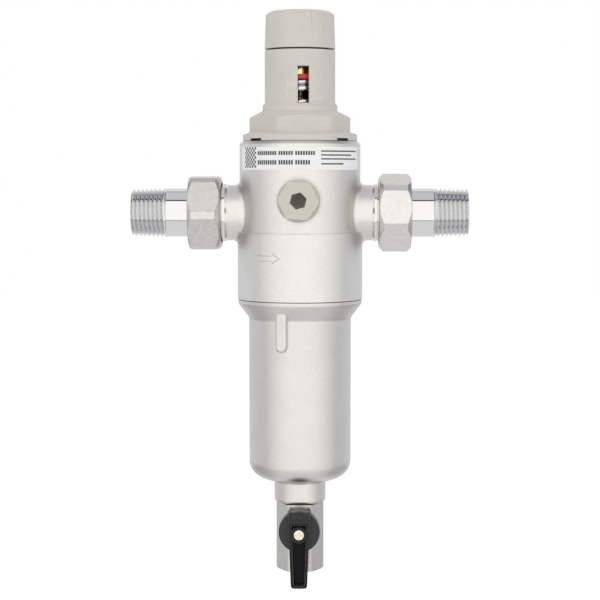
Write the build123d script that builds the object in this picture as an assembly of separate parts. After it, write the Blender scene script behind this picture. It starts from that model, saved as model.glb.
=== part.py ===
from build123d import *
import os
from math import cos, radians, sin, tan

# Self cleaning filter for a half inch pipe, with a pressure reducer on top, in millimetres.
# The pipe runs along X (water goes towards +X), the bowl hangs down -Z, the front is -Y.
# The origin is where the pipe axis crosses the filter's vertical axis.

# Clearances
running_gap = 0.05  # radial, round a piece that turns or slides in its guide
fixed_gap = 0.10  # radial, round a piece that stays put in its bore
free_gap = 0.30  # between moving pieces that pass each other unguided
face_gap = 0.05  # between flat faces that slide or open

# Casting, outside
barrel_r = 25.5
casting_top = 30.0
rim_chamfer = 1.2
skirt_proud = 0.9
skirt_drop = 8.3
skirt_height = 28.1
neck_r = 11.7
neck_rim_r = 12.2
neck_rim_at = 31.5
neck_rim_width = 1.0
neck_fillet = 2.0

# Casting, inside
water_r = 7.5
pocket_margin = 1.2
barrel_wall = 3.8
skirt_thread_wall = 3.4
web = 3.0
ledge_depth = 8.5
ledge_width = 3.6
chamber_r = 16.9
centre_bore_r = 10.6
centre_tube_wall = 3.0
centre_tube_reach = 10.2
inlet_half_angle = 68
outlet_half_angle = 100

# Threaded spigots, union nuts and tailpieces
spigot_root_r = 11.4
spigot_root_length = 2.1
spigot_r = 13.0
spigot_length = 6.2
gasket_thickness = 1.6
nut_standoff = 0.6
nut_wall = 1.95
nut_corner_cut = 0.82
nut_shoulder = 2.05
nut_chamfer = 1.6
nut_end_cone = 0.5
tail_flange_thickness = 2.8
tail_r = 10.2
tail_length = 25.8
thread_r = 10.4
thread_length = 13.4
undercut_depth = 0.5
undercut_width = 1.0
thread_lead_in = 0.9
inlet_nut_turn = 3.0
outlet_nut_turn = 19.7

# Gauge ports, front and rear
port_height = 5.4
boss_proud = 1.1
boss_margin = 0.7
port_thread_r = 6.5
plug_seal_width = 1.5
plug_seal_thickness = 1.4
plug_flange_lip = 0.9
plug_flange_thickness = 1.9
plug_flats = 15.2
plug_corner_r = 8.5
plug_head_height = 4.6
plug_turn = -4.7
socket_flats = 6.2
socket_depth = 5.6
socket_point = 1.8
socket_turn = 15.0

# Rating label on the barrel
label_top_drop = 2.5
label_height = 9.5
label_half_angle = 70
label_thickness = 0.12

# Bowl
bowl_gap = 0.3
bowl_rim_inset = 0.2
bowl_rim_height = 1.6
bowl_shoulder_height = 6.1
bowl_r = 21.65
bowl_foot_r = 21.6
bowl_depth = 77.8
bowl_dome_r = 8.0
bowl_dome_slope = 18.0
bowl_floor_margin = 1.5
bowl_rim_round = 1.6
bowl_shoulder_round = 2.0
bowl_wall = 2.3
bowl_top_wall = 2.35
bowl_spigot_length = 8.6
bowl_spigot_wall = 2.5
throat_lip = 1.4
throat_height = 2.4
drain_neck_r = 10.9
drain_neck_length = 8.8
drain_neck_round = 1.4
rib_angle = 18.8
rib_width = 5.0
rib_length = 17.8
rib_drop = 4.6
rib_proud = 2.2
rib_round = 1.2
bowl_seal_height = 1.8

# Spring bonnet
bonnet_gap = 0.2
bonnet_turn = 7.0
bonnet_flange_r = 24.1
bonnet_flange_height = 2.6
bonnet_notch_height = 0.9
bonnet_notch_depth = 2.4
bonnet_notch_angle = 49.0
bonnet_notch_half_angle = 8.5
bonnet_step_height = 1.1
bonnet_hex_flats = 38.2
bonnet_hex_corner_r = 21.4
bonnet_hex_round = 4.5
bonnet_hex_height = 5.9
bonnet_cone_height = 3.0
bonnet_foot_r = 15.8
bonnet_foot_height = 2.2
bonnet_foot_taper = 1.1
bonnet_r = 14.85
bonnet_wall = 2.4
bonnet_barrel_height = 21.9
bonnet_roof = 4.0
relief_height = 4.0
window_top_drop = 7.1
window_height = 15.1
window_width = 4.7
window_chamfer = 0.35
key_width = 2.4
key_depth = 1.0

# Adjusting knob
knob_gap = 0.7
knob_r = 14.85
knob_taper = 0.45
knob_height = 14.0
knob_crown = 2.4
knob_corner_round = 4.0
knob_corner_rise = 1.7
knob_dish_r = 11.5
knob_wall = 2.4
knob_hub_r = 6.4
screw_hex_flats = 7.0
screw_hex_height = 6.5
flute_groups = 3
flute_angles = (9.0, 21.8, 41.0)
flute_widths = (4.0, 2.2, 0.9)
flute_depths = (0.6, 0.5, 0.3)
flute_length = 9.5

# Adjusting screw and setting nut
journal_r = 4.6
collar_r = 7.6
collar_height = 1.8
washer_thickness = 1.0
screw_thread_r = 4.0
screw_spare_length = 1.5
nut_flats = 14.6
nut_turn = 13.0
nut_body_height = 2.2
nut_hub_r = 5.6
nut_hub_height = 0.9
nut_seat_depth = 1.1
indicator_thickness = 1.9
setting_travel = 9.4

# Adjusting spring
spring_wire = 2.8
spring_turns = 6.2
spring_mean_r = 9.3
spring_start = 234.0

# Diaphragm and regulator spindle
diaphragm_thickness = 1.2
slip_ring_thickness = 0.8
plate_r = 12.1
plate_thickness = 2.0
plate_lip_width = 0.5
plate_lip_height = 1.0
plate_boss_r = 6.2
plate_boss_height = 3.6
under_plate_thickness = 2.0
spindle_r = 3.0
spindle_collar_r = 5.2
spindle_collar_height = 2.0
spindle_tail_r = 2.4
spindle_nut_flats = 10.0
spindle_nut_height = 3.2
regulator_stroke = 1.9
disc_r = 8.0
disc_rubber = 1.5
disc_holder_height = 3.2

# Valve cartridge
cartridge_wall = 1.4
cartridge_flange_width = 2.3
cartridge_flange_height = 1.4
cartridge_length = 20.5
cartridge_guide_length = 5.0
seat_rise = 10.8
seat_r = 6.4
seat_thickness = 1.8
spider_height = 3.0
spider_hub_wall = 1.7
spoke_width = 1.8
spokes = 3
cartridge_seal_rise = 4.0
cartridge_seal_height = 1.6
cartridge_seal_depth = 0.7

# Filter insert
insert_travel = 5.0
head_tube_wall = 1.8
head_gap = 0.5
head_flange_lip = 1.5
head_flange_height = 2.2
upper_stage_height = 8.0
stop_ring_gap = 1.8
stop_ring_height = 3.0
cage_gap = 1.2
cage_depth = 1.9
cage_ring_height = 2.0
cage_ribs = 6
cage_rib_width = 2.2
cage_mid_rings = 3
screen_thickness = 0.3
foot_thickness = 4.0
foot_holes = 6
foot_hole_r = 2.2
foot_hole_inset = 2.1
foot_hub_height = 1.0
return_wire = 1.3
return_turns = 2.4
return_mean_r = 8.2

# Backwash rotor
rotor_hub_r = 2.6
pivot_r = 1.4
pivot_length = 2.4
rotor_tip_gap = 0.9
jet_bars = 2
jet_bar_thickness = 1.6
jet_bar_margin = 3.0
impeller_height = 8.0
impeller_blades = 6
impeller_pitch = 25.0
blade_thickness = 1.0

# Drain ball valve
valve_gap = 0.4
valve_wall = 3.3
valve_chamfer = 0.8
valve_chamfer_height = 0.5
valve_spigot_r = 6.5
valve_spigot_length = 8.0
valve_port_r = 3.4
ball_drop = 10.3
ball_r = 5.0
ball_port_r = 3.2
ball_clearance = 0.4
retainer_height = 2.2
retainer_margin = 0.8
drain_thread_r = 5.85
drain_thread_length = 10.0
drain_lead_in = 0.5
drain_seal_height = 1.4
drain_seal_width = 0.9

# Valve stem and its packing, measured forwards from the ball's centre
stem_r = 2.2
stem_flange_r = 3.0
stem_flange_height = 1.2
tang_width = 2.2
tang_depth = 1.2
stem_seat = 6.7
packing_seat = 8.9
packing_width = 1.6
packing_height = 1.8
gland_height = 2.0
gland_proud = 0.3
stem_boss_wall = 1.6
stem_end = 17.5

# Drain lever, measured forwards from the ball's centre
cup_r = 8.7
cup_wall = 1.2
cup_back = 9.2
cup_front = 14.6
cup_floor = 1.5
arm_front = 22.2
arm_back = 13.8
arm_root_width = 8.9
arm_end_width = 6.8
arm_length = 23.0
arm_end_front = 19.8
arm_end_round = 1.3
arm_top = 8.3
arm_ramp_drop = 2.8
arm_bend = 6.0
channel_depth = 1.9
arm_rim = 1.15
lever_screw_head_r = 2.1
lever_screw_head_height = 1.4
lever_screw_shank_r = 1.2
lever_screw_length = 5.0
screw_boss_r = 3.3
screw_recess = 0.8
driver_slot_width = 0.6
driver_slot_depth = 0.6

# Places along the pipe axis, from the middle outwards
neck_end = neck_rim_at + neck_rim_width
spigot_start = neck_rim_at - neck_rim_width
spigot_end = neck_end + spigot_root_length + spigot_length
tail_flange_start = spigot_end + gasket_thickness
tail_flange_end = tail_flange_start + tail_flange_thickness
nut_start = neck_end + nut_standoff
nut_end = tail_flange_end + face_gap + nut_shoulder
tail_end = tail_flange_end + tail_length

# Radii that follow the casting's barrel
skirt_r = barrel_r + skirt_proud
bowl_rim_r = skirt_r - bowl_rim_inset

# Heights in the casting
skirt_top = -skirt_drop
casting_bottom = skirt_top - skirt_height
inlet_roof = water_r + pocket_margin
chamber_floor = inlet_roof + web
outlet_floor = -inlet_roof
lower_roof = outlet_floor - web
centre_tube_end = lower_roof - centre_tube_reach
ledge = casting_top - ledge_depth
pocket_r = barrel_r - barrel_wall
centre_tube_r = centre_bore_r + centre_tube_wall
bonnet_neck_r = chamber_r + ledge_width
boss_face = barrel_r + boss_proud
plug_flange_r = port_thread_r + plug_seal_width + plug_flange_lip

# Radii and heights in the bowl
bowl_top = casting_bottom - bowl_gap
bowl_spigot_r = skirt_r - skirt_thread_wall - fixed_gap
bowl_spigot_top = casting_bottom + bowl_spigot_length
bowl_bore_r = bowl_spigot_r - bowl_spigot_wall
bowl_inner_r = bowl_foot_r - bowl_wall
bowl_inner_top_r = bowl_r - bowl_top_wall
bowl_bottom = bowl_top - bowl_depth
bowl_floor = bowl_bottom + bowl_wall
drain_neck_bottom = bowl_bottom - drain_neck_length

# Radii in the filter insert, from the bowl's bore inwards
stop_ring_r = bowl_bore_r - stop_ring_gap
throat_r = stop_ring_r - throat_lip
cage_r = throat_r - cage_gap
screen_r = cage_r - cage_depth
head_flange_r = screen_r + head_flange_lip
foot_hole_circle_r = screen_r - foot_hole_inset

# Heights in the filter insert, which hangs under the casting's centre tube
insert_top = centre_tube_end - face_gap
head_flange_low = insert_top - head_flange_height
stop_ring_top = head_flange_low - upper_stage_height
cage_top = stop_ring_top - stop_ring_height
throat_top = cage_top - insert_travel - face_gap
foot_low = bowl_floor + insert_travel + return_wire * (return_turns + 1)
foot_top = foot_low + foot_thickness
rotor_low = foot_top + foot_hub_height + face_gap
rotor_high = cage_top - face_gap
rotor_r = screen_r - screen_thickness - rotor_tip_gap

# Heights in the regulator
diaphragm_top = ledge + diaphragm_thickness
bonnet_low = diaphragm_top + slip_ring_thickness
plate_top = diaphragm_top + plate_thickness
spindle_collar_top = ledge - under_plate_thickness
cartridge_top = chamber_floor + cartridge_flange_height
cartridge_low = chamber_floor - cartridge_length
guide_low = cartridge_low - cartridge_guide_length
seat_low = cartridge_low + seat_rise
disc_top = seat_low - regulator_stroke - face_gap
head_top = guide_low - head_gap
cartridge_r = centre_bore_r - fixed_gap

# Heights in the bonnet and the knob
bonnet_flange_low = casting_top + bonnet_gap
bonnet_step_low = bonnet_flange_low + bonnet_flange_height
bonnet_hex_low = bonnet_step_low + bonnet_step_height
bonnet_cone_low = bonnet_hex_low + bonnet_hex_height
bonnet_foot_low = bonnet_cone_low + bonnet_cone_height
bonnet_taper_low = bonnet_foot_low + bonnet_foot_height
bonnet_barrel_low = bonnet_taper_low + bonnet_foot_taper
bonnet_top = bonnet_barrel_low + bonnet_barrel_height
bonnet_bore_r = bonnet_r - bonnet_wall
roof_low = bonnet_top - bonnet_roof
collar_top = roof_low - washer_thickness - face_gap
collar_low = collar_top - collar_height
nut_hub_top = collar_low - free_gap
nut_body_top = nut_hub_top - nut_hub_height
nut_body_low = nut_body_top - nut_body_height
indicator_low = nut_body_low - indicator_thickness
screw_tip = indicator_low - setting_travel - screw_spare_length
knob_low = bonnet_top + knob_gap
knob_corner = knob_low + knob_height
knob_top = knob_corner + knob_crown

# Heights in the drain valve
valve_top = drain_neck_bottom - valve_gap
ball_height = valve_top - ball_drop
ball_chamber_r = ball_r + ball_clearance
valve_flats = 2 * (ball_chamber_r + valve_wall)
valve_corner_r = valve_flats / 2 / cos(radians(30))
retainer_top = ball_height - ball_chamber_r
drain_thread_top = retainer_top - retainer_height - retainer_margin
valve_bottom = drain_thread_top - drain_thread_length
gland_top = packing_seat + packing_height + gland_height
stem_boss_end = gland_top - gland_proud
packing_r = stem_r + running_gap + packing_width


# Shapes that the pieces are made of

standing = (Align.CENTER, Align.CENTER, Align.MIN)
leading = (Align.MIN, Align.CENTER, Align.MIN)


def turned(*outline):
    """Solid turned about Z from the corners of its half section, as (radius, height)."""
    return revolve(Plane.XZ * make_face(Polyline(*outline, close=True)), Axis.Z)


def disc(radius, low, high):
    """Solid cylinder about Z between two heights."""
    return Pos(0, 0, low) * Cylinder(radius, high - low, align=standing)


def ring(outer, inner, low, high):
    """Flat-ended tube about Z between two heights."""
    return disc(outer, low, high) - disc(inner, low, high)


def hexagon(flats, low, high, turn=0.0, corner_round=0.0):
    """Hexagonal bar about Z, sized across its flats, with a corner at the turn angle from +X."""
    outline = RegularPolygon(flats / 2, 6, major_radius=False)
    if corner_round > 0:
        outline = fillet(outline.vertices(), corner_round)
    return Rot(0, 0, turn) * (Pos(0, 0, low) * extrude(outline, high - low))


def along_x(shape, side):
    """Turn a shape built along +Z so that it lies along +X (side 1) or -X (side -1)."""
    return Rot(0, 90 * side, 0) * shape


def along_front(shape, side=1):
    """Turn a shape built along +Z so that it points to the front, -Y (side 1), or to the rear."""
    return Rot(90 * side, 0, 0) * shape


def sector(outer, inner, low, high, half_angle, centre_angle):
    """Part of a ring, as wide as twice the half angle, about the centre angle from +X."""
    start = Vector(-outer, 0).rotate(Axis.Z, -half_angle)
    end = Vector(-outer, 0).rotate(Axis.Z, half_angle)
    rim = CenterArc((0, 0), outer, 180 - half_angle, 2 * half_angle)
    wedge = extrude(make_face([Line((0, 0), start), rim, Line(end, (0, 0))]), high - low)
    return Rot(0, 0, centre_angle - 180) * (Pos(0, 0, low) * wedge - disc(inner, low, high))


def spider(hub, bore, rim, low, high):
    """Hub with a bore, held in a ring of the rim's radius by its spokes."""
    spoke = Pos(0, 0, low) * Box(
        rim, spoke_width, high - low, align=leading
    )
    wheel = disc(hub, low, high)
    for index in range(spokes):
        wheel += Rot(0, 0, 360 / spokes * index + 90) * spoke
    return wheel - disc(bore, low, high)


def coil(mean_r, wire, low, high, turns, sides, start=0.0):
    """Spring of round wire, drawn as a many-sided bar, standing between two flat ends."""
    rise = high - low - wire
    path = Helix(rise / turns, rise, mean_r)
    section = Plane(path @ 0, z_dir=path % 0) * RegularPolygon(wire / 2, sides)
    spring = sweep(section, path, is_frenet=True)
    return Pos(0, 0, low + wire / 2) * (Rot(0, 0, start) * spring)


# Casting


def necked_cylinder(radius, low, high):
    """Cylinder about Z with the two pipe necks grown out of it along X, their creases rounded."""
    neck = disc(neck_r, 0, spigot_start)
    shape = Rot(0, 0, 45) * disc(radius, low, high)
    shape = shape + along_x(neck, 1) + along_x(neck, -1)
    creases = shape.edges().filter_by(GeomType.CIRCLE, reverse=True)
    creases = creases.filter_by(lambda edge: edge.bounding_box().size.Y > neck_r)
    return fillet(creases, neck_fillet)


def casting_outside():
    """Barrel and wider skirt, the necks with their threaded spigots, and the gauge bosses."""
    above_skirt = disc(2 * nut_start, skirt_top, casting_top + 1)
    below_barrel = disc(2 * nut_start, casting_bottom - 1, skirt_top)
    barrel = necked_cylinder(barrel_r, casting_bottom, casting_top) - below_barrel
    barrel = chamfer(barrel.faces().sort_by(Axis.Z)[-1].edges(), rim_chamfer)
    shape = barrel + (necked_cylinder(skirt_r, casting_bottom, casting_top) - above_skirt)
    spigot = turned(
        (0, spigot_start),
        (neck_r, spigot_start),
        (neck_rim_r, neck_rim_at),
        (neck_rim_r, neck_end),
        (spigot_root_r, neck_end),
        (spigot_root_r, neck_end + spigot_root_length),
        (spigot_r, neck_end + spigot_root_length),
        (spigot_r, spigot_end),
        (0, spigot_end),
    )
    boss = disc(plug_flange_r + boss_margin, pocket_r, boss_face)
    for side in (1, -1):
        shape += along_x(spigot, side)
        shape += Pos(0, 0, port_height) * along_front(boss, side)
    return shape


def body_casting():
    """Casting with its water ways: inlet pocket below, outlet pocket above, centre bore between."""
    seal_roof = bowl_spigot_top + bowl_seal_height
    hollow = disc(bonnet_neck_r + fixed_gap, ledge, casting_top + 1)
    hollow += disc(chamber_r, chamber_floor, ledge + 1)
    hollow += sector(pocket_r, centre_tube_r, outlet_floor, chamber_floor, outlet_half_angle, 0)
    hollow += sector(pocket_r, centre_tube_r, lower_roof, inlet_roof, inlet_half_angle, 180)
    hollow += ring(pocket_r, centre_tube_r, centre_tube_end, lower_roof)
    hollow += disc(pocket_r, seal_roof - 1, centre_tube_end)
    hollow += disc(bowl_spigot_r + fixed_gap, casting_bottom - 1, seal_roof)
    hollow += disc(centre_bore_r, centre_tube_end - 1, chamber_floor + 1)
    water = disc(water_r, centre_tube_r + 1, spigot_end + 1)
    seal_bore_r = port_thread_r + plug_seal_width + fixed_gap
    port = disc(port_thread_r + fixed_gap, pocket_r - web, boss_face + 1)
    port += disc(seal_bore_r, boss_face - plug_seal_thickness, boss_face + 1)
    for side in (1, -1):
        hollow += along_x(water, side)
        hollow += Pos(0, 0, port_height) * along_front(port, side)
    return casting_outside() - hollow


def rating_label():
    """Plain sticker bent round the front of the barrel, under the rim."""
    high = casting_top - label_top_drop
    outer = barrel_r + label_thickness
    return sector(outer, barrel_r, high - label_height, high, label_half_angle, -90)


# Gauge port plugs


def gauge_plug():
    """Plug along +Z: thread, flange, and a hexagon head with a hexagon socket in it."""
    flange_top = boss_face + plug_flange_thickness
    head_top_face = flange_top + plug_head_height
    shape = disc(port_thread_r, pocket_r, boss_face + 1)
    shape += disc(plug_flange_r, boss_face, flange_top)
    head = hexagon(plug_flats, flange_top - 1, head_top_face, plug_turn)
    shape += head & disc(plug_corner_r, flange_top - 1, head_top_face)
    socket_floor = head_top_face - socket_depth
    shape -= hexagon(socket_flats, socket_floor, head_top_face + 1, socket_turn)
    drilled_r = socket_flats / 2
    drill_end = socket_floor - socket_point
    return shape - turned((0, socket_floor), (drilled_r, socket_floor), (0, drill_end))


def plug_seal():
    """Flat sealing ring in the boss, round the plug's thread."""
    low = boss_face - plug_seal_thickness
    inner = port_thread_r + fixed_gap
    return ring(inner + plug_seal_width - fixed_gap, inner, low, boss_face)


# Pipe unions


def union_nut(turn):
    """Nut along +Z: a hexagon with its corners cut flat, turned to a cone at both ends."""
    bore_r = spigot_r + running_gap
    flats = 2 * (bore_r + nut_wall)
    corner_r = flats / 2 / cos(radians(30)) - nut_corner_cut
    flat_r = flats / 2
    hole_r = tail_r + free_gap
    envelope = turned(
        (0, nut_start),
        (bore_r + nut_wall / 2, nut_start),
        (flat_r, nut_start + nut_end_cone),
        (corner_r, nut_start + nut_end_cone + nut_chamfer),
        (corner_r, nut_end - nut_end_cone - nut_chamfer),
        (flat_r, nut_end - nut_end_cone),
        (hole_r, nut_end),
        (0, nut_end),
    )
    sides = hexagon(flats, nut_start, nut_end, turn)
    corners = hexagon(2 * corner_r * cos(radians(5)), nut_start, nut_end, turn + 30)
    bore = disc(bore_r, nut_start - 1, nut_end - nut_shoulder) + disc(hole_r, nut_start, nut_end + 1)
    return (envelope & sides & corners) - bore


def tailpiece():
    """Tailpiece along +Z: sealing flange, plain neck, and a male pipe thread's outline."""
    thread_start = tail_end - thread_length
    return turned(
        (water_r, tail_flange_start),
        (spigot_r + running_gap - free_gap, tail_flange_start),
        (spigot_r + running_gap - free_gap, tail_flange_end),
        (tail_r, tail_flange_end),
        (tail_r, thread_start - undercut_width),
        (tail_r - undercut_depth, thread_start - undercut_width),
        (tail_r - undercut_depth, thread_start),
        (thread_r, thread_start),
        (thread_r, tail_end - thread_lead_in),
        (thread_r - thread_lead_in, tail_end),
        (water_r, tail_end),
    )


def union_gasket():
    """Flat gasket along +Z between the spigot and the tailpiece."""
    return ring(spigot_r - free_gap, water_r + fixed_gap, spigot_end, tail_flange_start)


# Bowl


def filter_bowl():
    """Cup with a threaded spigot, a sloping rim, a throat, a domed foot and a drain neck."""
    shoulder_low = bowl_top - bowl_rim_height - bowl_shoulder_height
    dome_sweep = 90 - bowl_dome_slope
    dome_middle = bowl_foot_r - bowl_dome_r
    slope_width = dome_middle + bowl_dome_r * cos(radians(dome_sweep)) - drain_neck_r
    slope_height = slope_width * tan(radians(bowl_dome_slope))
    dome_low = bowl_bottom + slope_height + bowl_dome_r * sin(radians(dome_sweep))
    outline = Polyline(
        (0, bowl_spigot_top),
        (bowl_spigot_r, bowl_spigot_top),
        (bowl_spigot_r, bowl_top),
        (bowl_rim_r, bowl_top),
        (bowl_rim_r, bowl_top - bowl_rim_height),
        (bowl_r, shoulder_low),
        (bowl_foot_r, dome_low),
    )
    dome = CenterArc((dome_middle, dome_low), bowl_dome_r, 0, -dome_sweep)
    foot = Polyline(
        dome @ 1,
        (drain_neck_r, bowl_bottom),
        (drain_neck_r, drain_neck_bottom),
        (0, drain_neck_bottom),
        (0, bowl_spigot_top),
    )
    shape = revolve(Plane.XZ * make_face([outline, dome, foot]), Axis.Z)
    rim_edges = shape.edges().filter_by(GeomType.CIRCLE)
    shoulder_edges = rim_edges.filter_by(lambda edge: near_ring(edge, bowl_r, shoulder_low))
    shape = fillet(shoulder_edges, bowl_shoulder_round)
    shoulder_corner = bowl_top - bowl_rim_height
    rim_edges = shape.edges().filter_by(GeomType.CIRCLE)
    corner_edges = rim_edges.filter_by(lambda edge: near_ring(edge, bowl_rim_r, shoulder_corner))
    shape = fillet(corner_edges, bowl_rim_round)
    rim_edges = shape.edges().filter_by(GeomType.CIRCLE)
    neck_edges = rim_edges.filter_by(lambda edge: near_ring(edge, drain_neck_r, drain_neck_bottom))
    shape = fillet(neck_edges, drain_neck_round)
    shape += grip_rib(-90 - rib_angle, shoulder_low) + grip_rib(90 - rib_angle, shoulder_low)

    floor_r = drain_neck_r + bowl_floor_margin
    shape -= turned(
        (0, bowl_spigot_top + 1),
        (bowl_bore_r, bowl_spigot_top + 1),
        (bowl_bore_r, throat_top),
        (throat_r, throat_top),
        (throat_r, throat_top - throat_height),
        (bowl_inner_top_r, throat_top - throat_height),
        (bowl_inner_r, bowl_floor + bowl_inner_r - floor_r),
        (floor_r, bowl_floor),
        (0, bowl_floor),
    )
    shape -= disc(valve_spigot_r + fixed_gap, drain_neck_bottom - 1, bowl_floor + 1)
    seal_r = valve_spigot_r + drain_seal_width + fixed_gap
    return shape - disc(seal_r, drain_neck_bottom - 1, drain_neck_bottom + drain_seal_height)


def near_ring(edge, radius, height):
    """Whether a circular edge lies at this radius and height."""
    return abs(edge.radius - radius) < 0.01 and abs(edge.center().Z - height) < 0.01


def grip_rib(angle, shoulder_low):
    """Upright rib on the bowl's wall under its rim, with round ends, facing the angle."""
    reach = bowl_r + rib_proud
    slot = SlotCenterToCenter(rib_length - rib_width, rib_width, rotation=90)
    bar = extrude(slot, reach)
    bar = fillet(bar.faces().sort_by(Axis.Z)[-1].edges(), rib_round)
    bar -= Pos(0, 0, 0) * Box(rib_width * 2, rib_length * 2, 2 * (bowl_foot_r - bowl_wall / 2))
    middle = shoulder_low + rib_drop - rib_length / 2
    return Pos(0, 0, middle) * (Rot(0, 0, angle + 90) * (Rot(90, 0, 0) * bar))


def bowl_seal():
    """Sealing ring on the end of the bowl's spigot, inside the casting."""
    return ring(bowl_spigot_r, pocket_r, bowl_spigot_top, bowl_spigot_top + bowl_seal_height)


# Bonnet, knob and adjusting screw


def spring_bonnet():
    """Spring housing: neck, flange, hexagon under a cone, barrel with a scale window and keys."""
    lower = disc(bonnet_neck_r, bonnet_low, bonnet_flange_low + 1) + turned(
        (0, bonnet_flange_low),
        (bonnet_flange_r, bonnet_flange_low),
        (bonnet_flange_r, bonnet_step_low),
        (bonnet_hex_corner_r, bonnet_hex_low),
        (0, bonnet_hex_low),
    )
    upper = turned(
        (0, bonnet_hex_low - 1),
        (bonnet_hex_corner_r, bonnet_hex_low - 1),
        (bonnet_hex_corner_r, bonnet_cone_low),
        (bonnet_foot_r, bonnet_foot_low),
        (bonnet_foot_r, bonnet_taper_low),
        (bonnet_r, bonnet_barrel_low),
        (bonnet_r, bonnet_top),
        (0, bonnet_top),
    )
    sides = hexagon(bonnet_hex_flats, bonnet_hex_low - 1, bonnet_top, 0, bonnet_hex_round)
    hollow = disc(bonnet_bore_r, bonnet_low - 1, roof_low)
    hollow += disc(chamber_r, bonnet_low - 1, bonnet_low + relief_height)
    hollow += disc(journal_r + running_gap, roof_low - 1, bonnet_top + 1)
    shape = lower + (upper & sides) - hollow - window_cut()
    notch_r = bonnet_flange_r - bonnet_notch_depth
    notch_top = bonnet_flange_low + bonnet_notch_height
    for side in (-90, 90):
        for angle in (side - bonnet_notch_angle, side + bonnet_notch_angle):
            shape -= sector(
                bonnet_flange_r + 1,
                notch_r,
                bonnet_flange_low,
                notch_top,
                bonnet_notch_half_angle,
                angle - bonnet_turn,
            )
    key = Pos(bonnet_bore_r, 0, bonnet_barrel_low) * Box(
        2 * key_depth, key_width, roof_low - bonnet_barrel_low, align=standing
    )
    keys = (key + Rot(0, 0, 180) * key) & disc(bonnet_r - bonnet_wall / 2, bonnet_low, bonnet_top)
    return Rot(0, 0, bonnet_turn) * (shape + keys)


def window_cut():
    """Upright slot through the bonnet's front, wider at the outside by its chamfer."""
    high = bonnet_top - window_top_drop
    middle = high - window_height / 2
    slot = Pos(0, -bonnet_r, middle) * Box(window_width, 3 * bonnet_wall, window_height)
    flare_depth = 2 * window_chamfer
    mouth = Plane((0, -bonnet_r - window_chamfer, middle), z_dir=(0, 1, 0), x_dir=(1, 0, 0))
    outer = mouth * Rectangle(window_width + 4 * window_chamfer, window_height + 4 * window_chamfer)
    inner = mouth.offset(flare_depth) * Rectangle(window_width, window_height)
    return slot + loft([outer, inner])


def adjusting_knob():
    """Cap-shaped knob with a crowned top, a hub for the screw's hexagon, and flutes in groups."""
    top_r = knob_r - knob_taper
    dish_edge = (knob_dish_r, knob_corner + knob_corner_rise)
    corner = RadiusArc((top_r, knob_corner), dish_edge, -knob_corner_round)
    dish_sag = knob_crown - knob_corner_rise
    dish_round = (knob_dish_r**2 + dish_sag**2) / (2 * dish_sag)
    dish = RadiusArc(dish_edge, (0, knob_top), -dish_round)
    skirt = Polyline((0, knob_top), (0, knob_low), (knob_r, knob_low), (top_r, knob_corner))
    shape = revolve(Plane.XZ * make_face([corner, dish, skirt]), Axis.Z)
    hollow = ring(knob_r - knob_wall, knob_hub_r, knob_low - 1, knob_corner - knob_wall)
    socket_top = knob_low + screw_hex_height + face_gap
    socket = hexagon(screw_hex_flats + 2 * fixed_gap, knob_low - 1, socket_top)
    shape -= hollow + socket
    for group in range(flute_groups):
        for angle, width, depth in zip(flute_angles, flute_widths, flute_depths):
            shape -= Rot(0, 0, angle + 360 / flute_groups * group) * flute_cutter(width, depth)
    return shape


def flute_cutter(width, depth):
    """V-shaped bar leaning into the knob's front, deepest at its top and out of it lower down."""
    top_r = knob_r - knob_taper
    low_r = top_r + knob_taper * flute_length / knob_height
    low_end = Vector(0, -low_r, knob_corner - flute_length)
    along = Vector(0, -top_r + depth, knob_corner) - low_end
    reach = width / 2 / depth
    v_shape = make_face(Polyline((0, 0), (reach, -1), (-reach, -1), close=True))
    return Plane(low_end, x_dir=(1, 0, 0), z_dir=along) * extrude(v_shape, 2 * flute_length)


def adjusting_screw():
    """Screw with a hexagon for the knob, a journal in the roof, a collar and a long thread."""
    shape = turned(
        (0, screw_tip),
        (screw_thread_r - 0.6, screw_tip),
        (screw_thread_r, screw_tip + 0.6),
        (screw_thread_r, collar_low),
        (collar_r, collar_low),
        (collar_r, collar_top),
        (journal_r, collar_top),
        (journal_r, knob_low),
        (0, knob_low),
    )
    return shape + hexagon(screw_hex_flats, knob_low - 1, knob_low + screw_hex_height)


def thrust_washer():
    """Washer between the screw's collar and the bonnet's roof."""
    return ring(collar_r, journal_r + running_gap, roof_low - washer_thickness, roof_low)


def setting_nut():
    """Hexagonal nut that the screw drives down on to the spring, held in its carrier's pocket."""
    nut = hexagon(nut_flats, nut_body_low - nut_seat_depth, nut_body_top, nut_turn)
    nut += disc(nut_hub_r, nut_body_top - 1, nut_hub_top)
    return nut - disc(screw_thread_r + running_gap, indicator_low, nut_hub_top + 1)


def indicator_ring():
    """Coloured carrier that slides on the bonnet's keys, with a pocket for the setting nut."""
    shape = ring(bonnet_bore_r - free_gap, screw_thread_r + free_gap, indicator_low, nut_body_low)
    slot_width = key_width + 2 * free_gap
    slot = Pos(bonnet_bore_r, 0, indicator_low) * Box(
        2 * (key_depth + free_gap), slot_width, indicator_thickness, align=standing
    )
    shape -= Rot(0, 0, bonnet_turn) * (slot + Rot(0, 0, 180) * slot)
    pocket_low = nut_body_low - nut_seat_depth
    return shape - hexagon(nut_flats + 2 * fixed_gap, pocket_low, nut_body_low + 1, nut_turn)


# Diaphragm, spindle and valve cartridge


def diaphragm():
    """Flat rubber diaphragm, clamped at its rim and between two plates at its centre."""
    return ring(bonnet_neck_r, spindle_r + fixed_gap, ledge, diaphragm_top)


def slip_ring():
    """Thin ring that lets the bonnet turn home without dragging the diaphragm."""
    return ring(bonnet_neck_r, chamber_r, diaphragm_top, bonnet_low)


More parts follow.
